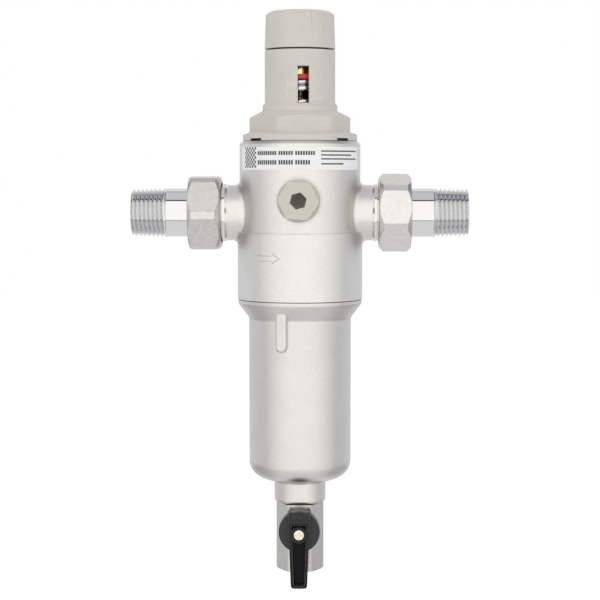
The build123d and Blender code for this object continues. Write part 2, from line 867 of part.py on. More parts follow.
def spring_plate():
    """Plate on the diaphragm that seats the adjusting spring, with a lip and a boss."""
    shape = ring(plate_r, spindle_r + fixed_gap, diaphragm_top, plate_top)
    shape += ring(plate_r, plate_r - plate_lip_width, plate_top, plate_top + plate_lip_height)
    boss_top = plate_top + plate_boss_height
    return shape + ring(plate_boss_r, spindle_r + fixed_gap, plate_top, boss_top)


def diaphragm_washer():
    """Plate under the diaphragm, resting on the spindle's collar."""
    return ring(plate_r, spindle_r + fixed_gap, spindle_collar_top, ledge)


def regulator_spindle():
    """Spindle from the diaphragm down to the valve disc's holder and its guiding tail."""
    top = plate_top + plate_boss_height + spindle_nut_height
    holder_top = disc_top - disc_rubber
    return turned(
        (0, guide_low),
        (spindle_tail_r, guide_low),
        (spindle_tail_r, holder_top - disc_holder_height),
        (disc_r, holder_top - disc_holder_height),
        (disc_r, holder_top),
        (spindle_r, holder_top),
        (spindle_r, spindle_collar_top - spindle_collar_height),
        (spindle_collar_r, spindle_collar_top - spindle_collar_height),
        (spindle_collar_r, spindle_collar_top),
        (spindle_r, spindle_collar_top),
        (spindle_r, top),
        (0, top),
    )


def valve_disc():
    """Rubber disc on the spindle's holder, which closes against the seat."""
    return ring(disc_r, spindle_r, disc_top - disc_rubber, disc_top)


def spindle_nut():
    """Nut that clamps the plates and the diaphragm on the spindle."""
    low = plate_top + plate_boss_height
    high = low + spindle_nut_height
    return hexagon(spindle_nut_flats, low, high) - disc(spindle_r + fixed_gap, low, high)


def valve_cartridge():
    """Sleeve in the centre bore with the valve seat, a flange, and a spider for the spindle."""
    bore = cartridge_r - cartridge_wall
    shape = ring(cartridge_r, bore, cartridge_low, chamber_floor)
    shape += ring(centre_bore_r + cartridge_flange_width, bore, chamber_floor, cartridge_top)
    shape += ring(bore + cartridge_wall / 2, seat_r, seat_low, seat_low + seat_thickness)
    hub_bore = spindle_r + running_gap
    rim = bore + cartridge_wall / 2
    hub_r = hub_bore + spider_hub_wall
    shape += spider(hub_r, hub_bore, rim, cartridge_top - spider_height, cartridge_top)
    groove_low = cartridge_low + cartridge_seal_rise
    return shape - ring(
        cartridge_r + 1,
        cartridge_r - cartridge_seal_depth,
        groove_low,
        groove_low + cartridge_seal_height,
    )


def cartridge_guide():
    """Ring under the cartridge with the lower guide of the spindle."""
    bore = cartridge_r - cartridge_wall
    shape = ring(cartridge_r, bore, guide_low, cartridge_low)
    hub_bore = spindle_tail_r + running_gap
    rim = bore + cartridge_wall / 2
    hub_r = hub_bore + spider_hub_wall
    return shape + spider(hub_r, hub_bore, rim, guide_low, guide_low + spider_height)


def cartridge_seal():
    """Sealing ring in the cartridge's groove."""
    low = cartridge_low + cartridge_seal_rise
    return ring(centre_bore_r, cartridge_r - cartridge_seal_depth, low, low + cartridge_seal_height)


# Filter insert


def rib_circle(low, high):
    """Upright ribs of the cage, between the screen and the cage's outside."""
    inner = screen_r + running_gap
    rib = Pos(inner, 0, low) * Box(
        cage_r - inner, cage_rib_width, high - low, align=leading
    )
    ribs = rib
    for index in range(1, cage_ribs):
        ribs += Rot(0, 0, 360 / cage_ribs * index) * rib
    return ribs


def filter_head():
    """Top of the insert: sliding tube, flange, ribs, and the stop ring with the rotor's bearing."""
    tube_r = centre_bore_r - running_gap
    bore = tube_r - head_tube_wall
    screen_inner = screen_r - screen_thickness
    shape = ring(tube_r, bore, head_flange_low, head_top)
    shape += ring(head_flange_r, bore, head_flange_low, insert_top)
    ribs = rib_circle(stop_ring_top - 1, head_flange_low + 1)
    shape += ribs & disc(head_flange_r, cage_top, insert_top)
    shape += ring(stop_ring_r, screen_inner, cage_top, stop_ring_top)
    hub_bore = pivot_r + running_gap
    rim = screen_inner + screen_thickness
    return shape + spider(hub_bore + spider_hub_wall, hub_bore, rim, cage_top, stop_ring_top)


def upper_screen():
    """Short fine screen between the head's flange and the stop ring."""
    return ring(screen_r, screen_r - screen_thickness, stop_ring_top, head_flange_low)


def filter_cage():
    """Cage of rings and ribs that stiffens the main screen."""
    inner = screen_r + running_gap
    shape = rib_circle(foot_top, cage_top)
    spaces = cage_mid_rings + 1
    for index in range(spaces + 1):
        low = foot_top + (cage_top - foot_top - cage_ring_height) * index / spaces
        shape += ring(cage_r, inner, low, low + cage_ring_height)
    return shape


def main_screen():
    """Long fine screen inside the cage."""
    return ring(screen_r, screen_r - screen_thickness, foot_top, cage_top)


def filter_foot():
    """Bottom of the insert: plate with flushing holes and the rotor's lower bearing."""
    hub_bore = pivot_r + running_gap
    shape = disc(cage_r, foot_low, foot_top)
    shape += disc(hub_bore + spider_hub_wall, foot_top, foot_top + foot_hub_height)
    hub_top = foot_top + foot_hub_height
    shape -= disc(hub_bore, hub_top - pivot_length - free_gap, hub_top)
    for index in range(foot_holes):
        hole = Pos(foot_hole_circle_r, 0, 0) * disc(foot_hole_r, foot_low - 1, foot_top + 1)
        shape -= Rot(0, 0, 360 / foot_holes * (index + 0.5)) * hole
    return shape


def backwash_rotor():
    """Rotor on two pivots: upright jet bars that sweep the screen, and an impeller above them."""
    shape = disc(rotor_hub_r, rotor_low, rotor_high)
    shape += disc(pivot_r, rotor_low - pivot_length, rotor_high + pivot_length)
    impeller_low = rotor_high - impeller_height
    bar_low = rotor_low + jet_bar_margin
    bar = Pos(0, 0, bar_low) * Box(
        rotor_r, jet_bar_thickness, impeller_low - jet_bar_margin - bar_low, align=leading
    )
    for index in range(jet_bars):
        shape += Rot(0, 0, 360 / jet_bars * index) * bar
    lean = impeller_height * 0.8
    blade = Rot(impeller_pitch, 0, 0) * Box(
        rotor_r, blade_thickness, lean, align=(Align.MIN, Align.CENTER, Align.CENTER)
    )
    blade &= disc(rotor_r, -impeller_height / 2, impeller_height / 2)
    for index in range(impeller_blades):
        shape += Pos(0, 0, impeller_low + impeller_height / 2) * (
            Rot(0, 0, 360 / impeller_blades * index) * blade
        )
    return shape


# Drain valve


def drain_valve_body():
    """Hexagonal bar with a threaded spigot on top, a ball chamber, a stem boss and a thread below."""
    shape = hexagon(valve_flats, valve_bottom, valve_top) & turned(
        (0, valve_bottom),
        (valve_corner_r - valve_chamfer, valve_bottom),
        (valve_corner_r, valve_bottom + valve_chamfer_height),
        (valve_corner_r, valve_top),
        (0, valve_top),
    )
    shape += disc(valve_spigot_r, valve_top, valve_top + valve_spigot_length)
    boss = disc(packing_r + stem_boss_wall, ball_chamber_r + 1, stem_boss_end)
    shape += Pos(0, 0, ball_height) * along_front(boss)
    hollow = disc(valve_port_r, ball_height, valve_top + valve_spigot_length + 1)
    hollow += disc(ball_chamber_r, drain_thread_top - 1, ball_height + ball_chamber_r)
    hollow += turned(
        (0, valve_bottom - 1),
        (drain_thread_r + drain_lead_in + 1, valve_bottom - 1),
        (drain_thread_r, valve_bottom + drain_lead_in),
        (drain_thread_r, drain_thread_top),
        (0, drain_thread_top),
    )
    stem_way = disc(stem_r + running_gap, 0, stem_boss_end + 1)
    stem_way += disc(stem_flange_r + running_gap, 0, stem_seat)
    stem_way += disc(packing_r + running_gap, packing_seat, stem_boss_end + 1)
    return shape - hollow - Pos(0, 0, ball_height) * along_front(stem_way)


def drain_seal():
    """Sealing ring round the valve's spigot, in the mouth of the bowl's neck."""
    inner = valve_spigot_r + running_gap
    high = drain_neck_bottom + drain_seal_height
    return ring(inner + drain_seal_width, inner, valve_top, high)


def ball_seat(side):
    """Sealing ring above (side 1) or below (side -1) the ball, hollowed to the ball's curve."""
    outer = ball_chamber_r - running_gap
    shape = ring(outer, valve_port_r, ball_r * 0.55, ball_chamber_r) - Sphere(ball_r + running_gap)
    return Pos(0, 0, ball_height) * (Rot(90 - 90 * side, 0, 0) * shape)


def seat_retainer():
    """Threaded ring that holds the lower seat."""
    outer = ball_chamber_r - running_gap
    return ring(outer, valve_port_r, retainer_top - retainer_height, retainer_top)


def valve_ball():
    """Ball with its water bore upright, as open, and a slot for the stem's tang in front."""
    slot_depth = tang_depth + face_gap
    slot = Pos(0, 0, ball_r - slot_depth) * Box(
        2 * ball_r, tang_width + 2 * running_gap, 2 * slot_depth, align=standing
    )
    shape = Sphere(ball_r) - disc(ball_port_r, -ball_r, ball_r) - along_front(slot)
    return Pos(0, 0, ball_height) * shape


def valve_stem():
    """Stem from the ball to the lever, with a tang, a flange behind the wall, and a screw hole."""
    flange_low = stem_seat - face_gap - stem_flange_height
    tang_low = ball_r - tang_depth
    tang = Pos(0, 0, tang_low) * Box(
        2 * stem_r, tang_width, flange_low - tang_low + stem_flange_height / 2, align=standing
    )
    shape = tang & disc(stem_r, 0, stem_end)
    shape += disc(stem_flange_r, flange_low, stem_seat - face_gap)
    shape += disc(stem_r, flange_low, stem_end)
    hole_low = screw_seat() - lever_screw_length - free_gap
    shape -= disc(lever_screw_shank_r + running_gap, hole_low, stem_end)
    return Pos(0, 0, ball_height) * along_front(shape)


def stem_packing():
    """Packing ring round the stem."""
    high = packing_seat + packing_height
    shape = ring(packing_r, stem_r + running_gap, packing_seat, high)
    return Pos(0, 0, ball_height) * along_front(shape)


def gland_nut():
    """Threaded ring that presses the packing."""
    low = packing_seat + packing_height
    shape = ring(packing_r, stem_r + running_gap, low, gland_top)
    return Pos(0, 0, ball_height) * along_front(shape)


# Drain lever


def screw_seat():
    """Depth of the face that the lever screw's head presses on, from the ball's centre."""
    return arm_front - screw_recess - lever_screw_head_height


def arm_outline(margin, drop):
    """Front view of the arm: tapering towards its round end, narrower by the margin all round."""
    root = arm_root_width / 2 - margin
    tip = arm_end_width / 2 - margin
    low = -arm_length + margin
    outline = make_face(Polyline((-root, drop), (root, drop), (tip, low), (-tip, low), close=True))
    corners = outline.vertices().sort_by(Axis.Y)[:2]
    return fillet(corners, arm_end_round - margin / 2)


def side_view(*corners):
    """Upright plate in the lever's side view, from corners as (depth to the front, height)."""
    outline = Polyline(*[(-depth, height) for depth, height in corners], close=True)
    return extrude(make_face(Plane.YZ * outline), arm_root_width, both=True)


def drain_lever():
    """Moulded lever: cup over the stem's boss, and a channel-shaped arm hanging from it."""
    cup = disc(cup_r, cup_back, cup_front)
    cup -= disc(cup_r - cup_wall, cup_back - 1, cup_front - cup_floor)
    ramp_foot = arm_top - arm_ramp_drop
    arm = side_view(
        (arm_back, arm_top),
        (cup_front, arm_top),
        (arm_front, ramp_foot),
        (arm_front, -arm_bend),
        (arm_end_front, -arm_length),
        (arm_back, -arm_length),
    )
    arm &= extrude(Plane.XZ * arm_outline(0, arm_top), 2 * arm_front, both=True)
    channel = side_view(
        (arm_front - channel_depth, ramp_foot - arm_rim),
        (arm_front + 1, ramp_foot - arm_rim),
        (arm_front + 1, -arm_length),
        (arm_end_front - channel_depth, -arm_length),
        (arm_front - channel_depth, -arm_bend),
    )
    channel &= extrude(Plane.XZ * arm_outline(arm_rim, arm_top), 2 * arm_front, both=True)
    hub = disc(screw_boss_r, cup_front - 1, arm_front)
    holes = disc(stem_r + fixed_gap, 0, stem_end + face_gap)
    holes += disc(lever_screw_shank_r + running_gap, 0, arm_front + 1)
    holes += disc(lever_screw_head_r + free_gap, screw_seat(), arm_front + 1)
    lever = along_front(cup + hub) + (arm - channel)
    return Pos(0, 0, ball_height) * (lever - along_front(holes))


def lever_screw():
    """Cross-slotted screw that holds the lever on the stem."""
    seat = screw_seat()
    top = seat + lever_screw_head_height
    shape = disc(lever_screw_head_r, seat, top)
    shape += disc(lever_screw_shank_r, seat - lever_screw_length, seat)
    for turn in (0, 90):
        slot = Box(1.4 * lever_screw_head_r, driver_slot_width, 2 * driver_slot_depth)
        shape -= Pos(0, 0, top) * (Rot(0, 0, turn) * slot)
    return Pos(0, 0, ball_height) * along_front(shape)


# Springs


def adjusting_spring():
    """Pressure spring between the spring plate and the indicator ring."""
    return coil(spring_mean_r, spring_wire, plate_top, indicator_low, spring_turns, 6, spring_start)


def backwash_spring():
    """Return spring under the insert, standing on the bowl's floor."""
    return coil(return_mean_r, return_wire, bowl_floor, foot_low, return_turns, 6)


port = Pos(0, 0, port_height)
pieces = {
    "body_casting": body_casting(),
    "rating_label": rating_label(),
    "gauge_plug_front": port * along_front(gauge_plug(), 1),
    "gauge_plug_rear": port * along_front(gauge_plug(), -1),
    "plug_seal_front": port * along_front(plug_seal(), 1),
    "plug_seal_rear": port * along_front(plug_seal(), -1),
    "inlet_union_nut": along_x(union_nut(-90 - inlet_nut_turn), -1),
    "outlet_union_nut": along_x(union_nut(outlet_nut_turn - 90), 1),
    "inlet_tailpiece": along_x(tailpiece(), -1),
    "outlet_tailpiece": along_x(tailpiece(), 1),
    "inlet_gasket": along_x(union_gasket(), -1),
    "outlet_gasket": along_x(union_gasket(), 1),
    "filter_bowl": filter_bowl(),
    "bowl_seal": bowl_seal(),
    "spring_bonnet": spring_bonnet(),
    "adjusting_knob": adjusting_knob(),
    "adjusting_screw": adjusting_screw(),
    "thrust_washer": thrust_washer(),
    "setting_nut": setting_nut(),
    "indicator_ring": indicator_ring(),
    "adjusting_spring": adjusting_spring(),
    "diaphragm": diaphragm(),
    "slip_ring": slip_ring(),
    "spring_plate": spring_plate(),
    "diaphragm_washer": diaphragm_washer(),
    "regulator_spindle": regulator_spindle(),
    "valve_disc": valve_disc(),
    "spindle_nut": spindle_nut(),
    "valve_cartridge": valve_cartridge(),
    "cartridge_guide": cartridge_guide(),
    "cartridge_seal": cartridge_seal(),
    "filter_head": filter_head(),
    "upper_screen": upper_screen(),
    "filter_cage": filter_cage(),
    "main_screen": main_screen(),
    "filter_foot": filter_foot(),
    "backwash_rotor": backwash_rotor(),
    "backwash_spring": backwash_spring(),
    "drain_valve_body": drain_valve_body(),
    "drain_seal": drain_seal(),
    "ball_seat_upper": ball_seat(1),
    "ball_seat_lower": ball_seat(-1),
    "seat_retainer": seat_retainer(),
    "valve_ball": valve_ball(),
    "valve_stem": valve_stem(),
    "stem_packing": stem_packing(),
    "gland_nut": gland_nut(),
    "drain_lever": drain_lever(),
    "lever_screw": lever_screw(),
}
os.makedirs("parts", exist_ok=True)
for name, shape in pieces.items():
    export_step(shape, "parts/" + name + ".step")
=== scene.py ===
import math
from types import SimpleNamespace

import bmesh
import bpy
import numpy as np
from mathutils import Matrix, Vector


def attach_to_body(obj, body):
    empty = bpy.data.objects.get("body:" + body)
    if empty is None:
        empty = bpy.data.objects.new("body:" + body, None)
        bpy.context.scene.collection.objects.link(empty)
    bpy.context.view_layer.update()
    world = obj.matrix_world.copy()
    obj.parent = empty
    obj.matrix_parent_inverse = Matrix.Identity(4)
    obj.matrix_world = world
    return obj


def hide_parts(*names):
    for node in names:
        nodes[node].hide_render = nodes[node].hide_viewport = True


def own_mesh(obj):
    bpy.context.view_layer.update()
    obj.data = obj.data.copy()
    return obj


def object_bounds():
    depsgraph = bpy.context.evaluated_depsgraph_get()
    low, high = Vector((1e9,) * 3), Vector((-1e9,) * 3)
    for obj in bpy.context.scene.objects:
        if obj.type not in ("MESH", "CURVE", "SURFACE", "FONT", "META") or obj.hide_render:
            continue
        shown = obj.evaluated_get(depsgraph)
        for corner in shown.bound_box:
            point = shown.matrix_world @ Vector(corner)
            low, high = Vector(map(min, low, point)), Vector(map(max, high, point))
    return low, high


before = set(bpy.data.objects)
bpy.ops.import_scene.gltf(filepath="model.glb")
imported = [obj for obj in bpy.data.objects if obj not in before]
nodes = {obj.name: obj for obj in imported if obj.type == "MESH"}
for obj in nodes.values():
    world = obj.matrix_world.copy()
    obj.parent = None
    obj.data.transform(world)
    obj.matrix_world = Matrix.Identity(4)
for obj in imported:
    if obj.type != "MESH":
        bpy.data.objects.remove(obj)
cad_low, cad_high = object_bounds()
mm = 0.001

# The room is a plain studio. A broad white panel, brightest in the middle, stands in front of the
# filter inside a thin dark frame, grey walls close the sides, and a pale cloth hangs behind. The
# camera sees only white.

panel_left = math.radians(-80)
panel_right = math.radians(86)
panel_low = math.radians(-35.5)
panel_high = math.radians(57.5)
panel_blur = math.radians(1.5)
panel_light = 0.87
heart_light = 1.29
heart_azimuth = math.radians(1)
heart_near = math.radians(22)
heart_far = math.radians(88)
frame_light = 0.04
foot_frame_light = 0.14
frame_top = math.radians(6)
frame_foot = math.radians(2.5)
frame_side = math.radians(4)
left_wall_light = (0.85, 0.88, 0.93, 1.0)
right_wall_light = (0.80, 0.82, 0.90, 1.0)
walls_meet = math.radians(60)
wall_edge = math.radians(80)
low_wall_light = (0.46, 0.46, 0.47, 1.0)
low_wall_top = (math.radians(-18), math.radians(-12))
high_wall_light = (0.20, 0.22, 0.30, 1.0)
high_wall_foot = (math.radians(18), math.radians(30))
foot_light = (0.86, 0.87, 0.89, 1.0)
foot_top = (math.radians(-57), math.radians(-50))
ceiling_light = (0.72, 0.73, 0.79, 1.0)
ceiling_foot = (math.radians(58), math.radians(66))
cloth_light = (0.87, 0.87, 0.87, 1.0)
cloth_edge = math.radians(140)
cloth_low = math.radians(0)
cloth_high = math.radians(58)
horizon = math.radians(-1)
straight_down = math.radians(-90)
past_behind = math.radians(185)

world = bpy.data.worlds.new("studio_room")
world.use_nodes = True
bpy.context.scene.world = world
room = world.node_tree
room.nodes.clear()


def room_node(kind, **inputs):
    """Add one node to the room and set its numbered inputs from values or from other sockets."""
    node = room.nodes.new(kind)
    for index, value in inputs.items():
        socket = node.inputs[int(index[1:])]
        if isinstance(value, bpy.types.NodeSocket):
            room.links.new(value, socket)
        else:
            socket.default_value = value
    return node


def room_math(operation, first, second=0.0):
    """One step of arithmetic on two sockets or numbers."""
    node = room_node("ShaderNodeMath", _0=first, _1=second)
    node.operation = operation
    return node.outputs[0]


def ramp(value, start, end):
    """0 before the start and 1 past the end, turning smoothly between them."""
    node = room_node("ShaderNodeMapRange", _0=value, _1=start, _2=end)
    node.interpolation_type = "SMOOTHSTEP"
    return node.outputs[0]


def band(value, first_edge, second_edge):
    """1 where a value lies between two soft edges, and 0 outside them."""
    half = panel_blur / 2
    entered = ramp(value, first_edge - half, first_edge + half)
    return room_math("SUBTRACT", entered, ramp(value, second_edge - half, second_edge + half))


def window(across, low_edge, high_edge, left_edge, right_edge):
    """1 where a direction lies between four edges, and 0 outside them."""
    return room_math("MULTIPLY", band(across, left_edge, right_edge), band(elevation, low_edge, high_edge))


def between(share, first, second):
    """The first colour where the share is 0, the second where it is 1."""
    node = room.nodes.new("ShaderNodeMix")
    node.data_type = "RGBA"
    room.links.new(share, node.inputs["Factor"])
    for socket, value in zip((node.inputs["A"], node.inputs["B"]), (first, second)):
        if isinstance(value, bpy.types.NodeSocket):
            room.links.new(value, socket)
        else:
            socket.default_value = value
    return node.outputs["Result"]


def grey(light):
    """Even grey of the given brightness."""
    return (light, light, light, 1.0)


direction = room_node("ShaderNodeTexCoord").outputs["Generated"]
parts = room_node("ShaderNodeSeparateXYZ", _0=direction).outputs
azimuth = room_math("ARCTAN2", parts[0], room_math("MULTIPLY", parts[1], -1.0))
elevation = room_math("ARCSINE", parts[2])
aside = room_math("ABSOLUTE", azimuth)
walls = between(ramp(azimuth, -walls_meet, walls_meet), left_wall_light, right_wall_light)
walls = between(ramp(elevation, *low_wall_top), low_wall_light, walls)
walls = between(ramp(elevation, *high_wall_foot), walls, high_wall_light)
walls = between(ramp(elevation, *foot_top), foot_light, walls)
front_foot = window(aside, straight_down, panel_low, horizon, wall_edge)
walls = between(front_foot, walls, foot_light)
back_foot = window(aside, straight_down, cloth_low, cloth_edge, past_behind)
walls = between(back_foot, walls, foot_light)
walls = between(ramp(elevation, *ceiling_foot), walls, ceiling_light)
cloth_share = window(aside, cloth_low, cloth_high, cloth_edge, past_behind)
walls = between(cloth_share, walls, cloth_light)
framed = window(
    azimuth,
    panel_low - frame_foot,
    panel_high + frame_top,
    panel_left - frame_side,
    panel_right + frame_side,
)
frame_glow = between(ramp(elevation, panel_low, panel_high), grey(foot_frame_light), grey(frame_light))
walls = between(framed, walls, frame_glow)
off_heart = room_math("ABSOLUTE", room_math("SUBTRACT", azimuth, heart_azimuth))
panel_glow = between(ramp(off_heart, heart_far, heart_near), grey(panel_light), grey(heart_light))
lit = window(azimuth, panel_low, panel_high, panel_left, panel_right)
glow = between(lit, walls, panel_glow)
studio = room_node("ShaderNodeBackground", _0=glow, _1=1.0).outputs[0]
seen = room_node("ShaderNodeBackground", _0=grey(1.0), _1=1.0).outputs[0]
by_camera = room_node("ShaderNodeLightPath").outputs["Is Camera Ray"]
either = room_node("ShaderNodeMixShader", _0=by_camera, _1=studio, _2=seen)
room_node("ShaderNodeOutputWorld", _0=either.outputs[0])

# The floor is a plain pale sheet some way under the filter, which hangs from its pipe.
# It looks white and keeps a faint shadow.

floor_drop = 80 * mm
floor_half = 3.0
floor_height = cad_low.z - floor_drop
sheet_grey = 0.85
sheet_glow = 1.08
sheet_glow_share = 0.9
floor_mesh = bpy.data.meshes.new("floor")
corners = ((-1, -1), (1, -1), (1, 1), (-1, 1))
floor_points = [(floor_half * x, floor_half * y, floor_height) for x, y in corners]
floor_mesh.from_pydata(floor_points, [], [(0, 1, 2, 3)])
floor = bpy.data.objects.new("floor", floor_mesh)
bpy.context.scene.collection.objects.link(floor)
floor.visible_glossy = False
sheet = bpy.data.materials.new("floor_sheet")
sheet.use_nodes = True
sheet_nodes = sheet.node_tree.nodes
sheet_links = sheet.node_tree.links
sheet_nodes.clear()
sheet_path = sheet_nodes.new("ShaderNodeLightPath")
sheet_matt = sheet_nodes.new("ShaderNodeBsdfDiffuse")
sheet_matt.inputs["Color"].default_value = grey(sheet_grey)
sheet_white = sheet_nodes.new("ShaderNodeEmission")
sheet_white.inputs["Strength"].default_value = sheet_glow
sheet_share = sheet_nodes.new("ShaderNodeMath")
sheet_share.operation = "MULTIPLY"
sheet_share.inputs[1].default_value = sheet_glow_share
sheet_mix = sheet_nodes.new("ShaderNodeMixShader")
sheet_out = sheet_nodes.new("ShaderNodeOutputMaterial")
sheet_links.new(sheet_path.outputs["Is Camera Ray"], sheet_share.inputs[0])
sheet_links.new(sheet_share.outputs[0], sheet_mix.inputs[0])
sheet_links.new(sheet_matt.outputs[0], sheet_mix.inputs[1])
sheet_links.new(sheet_white.outputs[0], sheet_mix.inputs[2])
sheet_links.new(sheet_mix.outputs[0], sheet_out.inputs[0])
floor_mesh.materials.append(sheet)

# The camera stands a little to the right of the front and above the pipe, far enough for a long
# lens, and looks slightly down at the filter's axis.

camera_distance = 741 * mm
camera_height = 16 * mm
camera_turn = math.radians(1.3)
camera_pitch = math.radians(4.1)
camera_lens = 104.8
camera_sensor = 36.0
camera_near = 50 * mm
camera_data = bpy.data.cameras.new("camera")
camera_data.sensor_width = camera_sensor
camera_data.lens = camera_lens
camera_data.clip_start = camera_near
camera = bpy.data.objects.new("camera", camera_data)
camera.location = (
    camera_distance * math.sin(camera_turn),
    -camera_distance * math.cos(camera_turn),
    camera_height,
)
camera.rotation_euler = (math.pi / 2 - camera_pitch, 0.0, camera_turn)
bpy.context.scene.collection.objects.link(camera)
bpy.context.scene.camera = camera
bpy.context.scene.view_settings.view_transform = "Standard"

# Body casting and filter bowl: brass castings, bead blasted all over and plated with satin
# nickel, so they have a fine pebbled grain and soft reflections. The faces that were turned
# afterwards, at the ends of the two pipe necks, are bright.

casting_dark = (0.69, 0.675, 0.64)
casting_light = (0.79, 0.765, 0.725)
bowl_dark = (0.645, 0.625, 0.595)
bowl_light = (0.735, 0.71, 0.675)
casting_edge = 0.2 * mm
pebble_size = 0.48 * mm
pebble_height = 0.05 * mm
pebble_strength = 0.5
blast_patch = 9 * mm
blast_smooth = 0.37
blast_rough = 0.45
machined_from = 30.4 * mm
machined_shine = 0.28
mask_blur = 0.1 * mm


def finish(name, colour, metal, roughness, edge):
    """Material with one shader whose edges look rounded by the given radius, and its parts."""
    material = bpy.data.materials.new(name)
    material.use_nodes = True
    tree = material.node_tree
    shader = tree.nodes["Principled BSDF"]
    shader.inputs["Base Color"].default_value = (*colour, 1.0)
    shader.inputs["Metallic"].default_value = metal
    shader.inputs["Roughness"].default_value = roughness
    rounding = tree.nodes.new("ShaderNodeBevel")
    rounding.samples = 6
    rounding.inputs["Radius"].default_value = edge
    tree.links.new(rounding.outputs[0], shader.inputs["Normal"])
    place = tree.nodes.new("ShaderNodeTexCoord").outputs["Object"]
    return SimpleNamespace(
        material=material,
        tree=tree,
        shader=shader.inputs,
        rounded=rounding.outputs[0],
        place=place,
    )


def axes_of(coat):
    """The three coordinates of a point on the piece, as sockets."""
    axes = coat.tree.nodes.new("ShaderNodeSeparateXYZ")
    coat.tree.links.new(coat.place, axes.inputs[0])
    return axes.outputs


def grain(coat, size, detail, stretch=(1.0, 1.0, 1.0)):
    """Noise whose grains are about the given size in metres, drawn out along an axis if asked."""
    mapping = coat.tree.nodes.new("ShaderNodeMapping")
    mapping.inputs["Scale"].default_value = stretch
    noise = coat.tree.nodes.new("ShaderNodeTexNoise")
    noise.inputs["Scale"].default_value = 1.0 / size
    noise.inputs["Detail"].default_value = detail
    coat.tree.links.new(coat.place, mapping.inputs[0])
    coat.tree.links.new(mapping.outputs[0], noise.inputs["Vector"])
    return noise.outputs["Fac"]


def spread(coat, value, low=0.0, high=1.0, from_low=0.3, from_high=0.7):
    """Map a value on to a range. Noise lies mostly between 0.3 and 0.7."""
    node = coat.tree.nodes.new("ShaderNodeMapRange")
    for index, number in enumerate((from_low, from_high, low, high), 1):
        node.inputs[index].default_value = number
    coat.tree.links.new(value, node.inputs[0])
    return node.outputs[0]


def past(coat, value, edge):
    """0 where a length is below the edge and 1 where it is past it."""
    return spread(coat, value, 0.0, 1.0, edge, edge + mask_blur)


def within(coat, value, edge):
    """1 where a length is below the edge and 0 where it is past it."""
    return spread(coat, value, 1.0, 0.0, edge, edge + mask_blur)


def step(coat, operation, first, second=0.0):
    """One step of arithmetic in a material, on two sockets or numbers."""
    node = coat.tree.nodes.new("ShaderNodeMath")
    node.operation = operation
    for socket, value in zip(node.inputs, (first, second)):
        if isinstance(value, bpy.types.NodeSocket):
            coat.tree.links.new(value, socket)
        else:
            socket.default_value = value
    return node.outputs[0]


def two_tone(coat, value, first, second):
    """Colour between two tones, by a value from 0 to 1. A tone may be another node's colour."""
    node = coat.tree.nodes.new("ShaderNodeMix")
    node.data_type = "RGBA"
    for socket, tone in zip((node.inputs["A"], node.inputs["B"]), (first, second)):
        if isinstance(tone, bpy.types.NodeSocket):
            coat.tree.links.new(tone, socket)
        else:
            socket.default_value = (*tone, 1.0)
    coat.tree.links.new(value, node.inputs["Factor"])
    return node.outputs["Result"]


def paint(coat, value, first, second):
    """Colour the surface between two tones, by a value from 0 to 1."""
    coat.tree.links.new(two_tone(coat, value, first, second), coat.shader["Base Color"])


def roughen(coat, value, smoothest, roughest):
    """Vary the roughness between two values by a noise."""
    coat.tree.links.new(spread(coat, value, smoothest, roughest), coat.shader["Roughness"])


def emboss(coat, value, height, strength):
    """Lay small relief from a value over the surface and its rounded edges."""
    node = coat.tree.nodes.new("ShaderNodeBump")
    node.inputs["Distance"].default_value = height
    coat.tree.links.new(value, node.inputs["Height"])
    coat.tree.links.new(coat.rounded, node.inputs["Normal"])
    coat.tree.links.new(node.outputs[0], coat.shader["Normal"])
    if isinstance(strength, bpy.types.NodeSocket):
        coat.tree.links.new(strength, node.inputs["Strength"])
    else:
        node.inputs["Strength"].default_value = strength


def dress(coat, *names):
    """Give CAD nodes a finish."""
    for name in names:
        for material_slot in nodes[name].material_slots:
            material_slot.material = coat.material


def blasted_plate(name, dark, light):
    """Nickel plate over a blasted casting: pebbled grain between two tones, smooth where turned."""
    coat = finish(name, dark, metal=1.0, roughness=blast_rough, edge=casting_edge)
    pebbles = grain(coat, size=pebble_size, detail=3.0)
    paint(coat, spread(coat, pebbles), dark, light)
    along_pipe = step(coat, "ABSOLUTE", axes_of(coat)[0])
    machined = past(coat, along_pipe, machined_from)
    blasted_roughness = spread(coat, grain(coat, size=blast_patch, detail=2.0), blast_smooth, blast_rough)
    shine = step(coat, "MULTIPLY", machined, machined_shine)
    roughness = step(coat, "SUBTRACT", blasted_roughness, shine)
    coat.tree.links.new(roughness, coat.shader["Roughness"])
    flattened = step(coat, "MULTIPLY", machined, pebble_strength)
    emboss(coat, pebbles, pebble_height, step(coat, "SUBTRACT", pebble_strength, flattened))
    return coat


blasted = blasted_plate("blasted_casting", casting_dark, casting_light)
dress(blasted, "body_casting")
dress(blasted_plate("blasted_bowl", bowl_dark, bowl_light), "filter_bowl")

# Flow arrow: a low arrow cast on the front of the skirt, left of the middle, and blasted and
# plated with it. It points from the inlet to the outlet.

skirt_r = 26.4 * mm
arrow_tail = math.radians(-39.0)
arrow_neck = math.radians(-24.7)
arrow_tip = math.radians(-16.9)
arrow_height = -18.4 * mm
shaft_half = 1.25 * mm
head_half = 2.3 * mm
arrow_proud = 0.60 * mm
arrow_slope = 0.28 * mm
arrow_root = 0.25 * mm
shaft_rows = 12
head_rows = 8


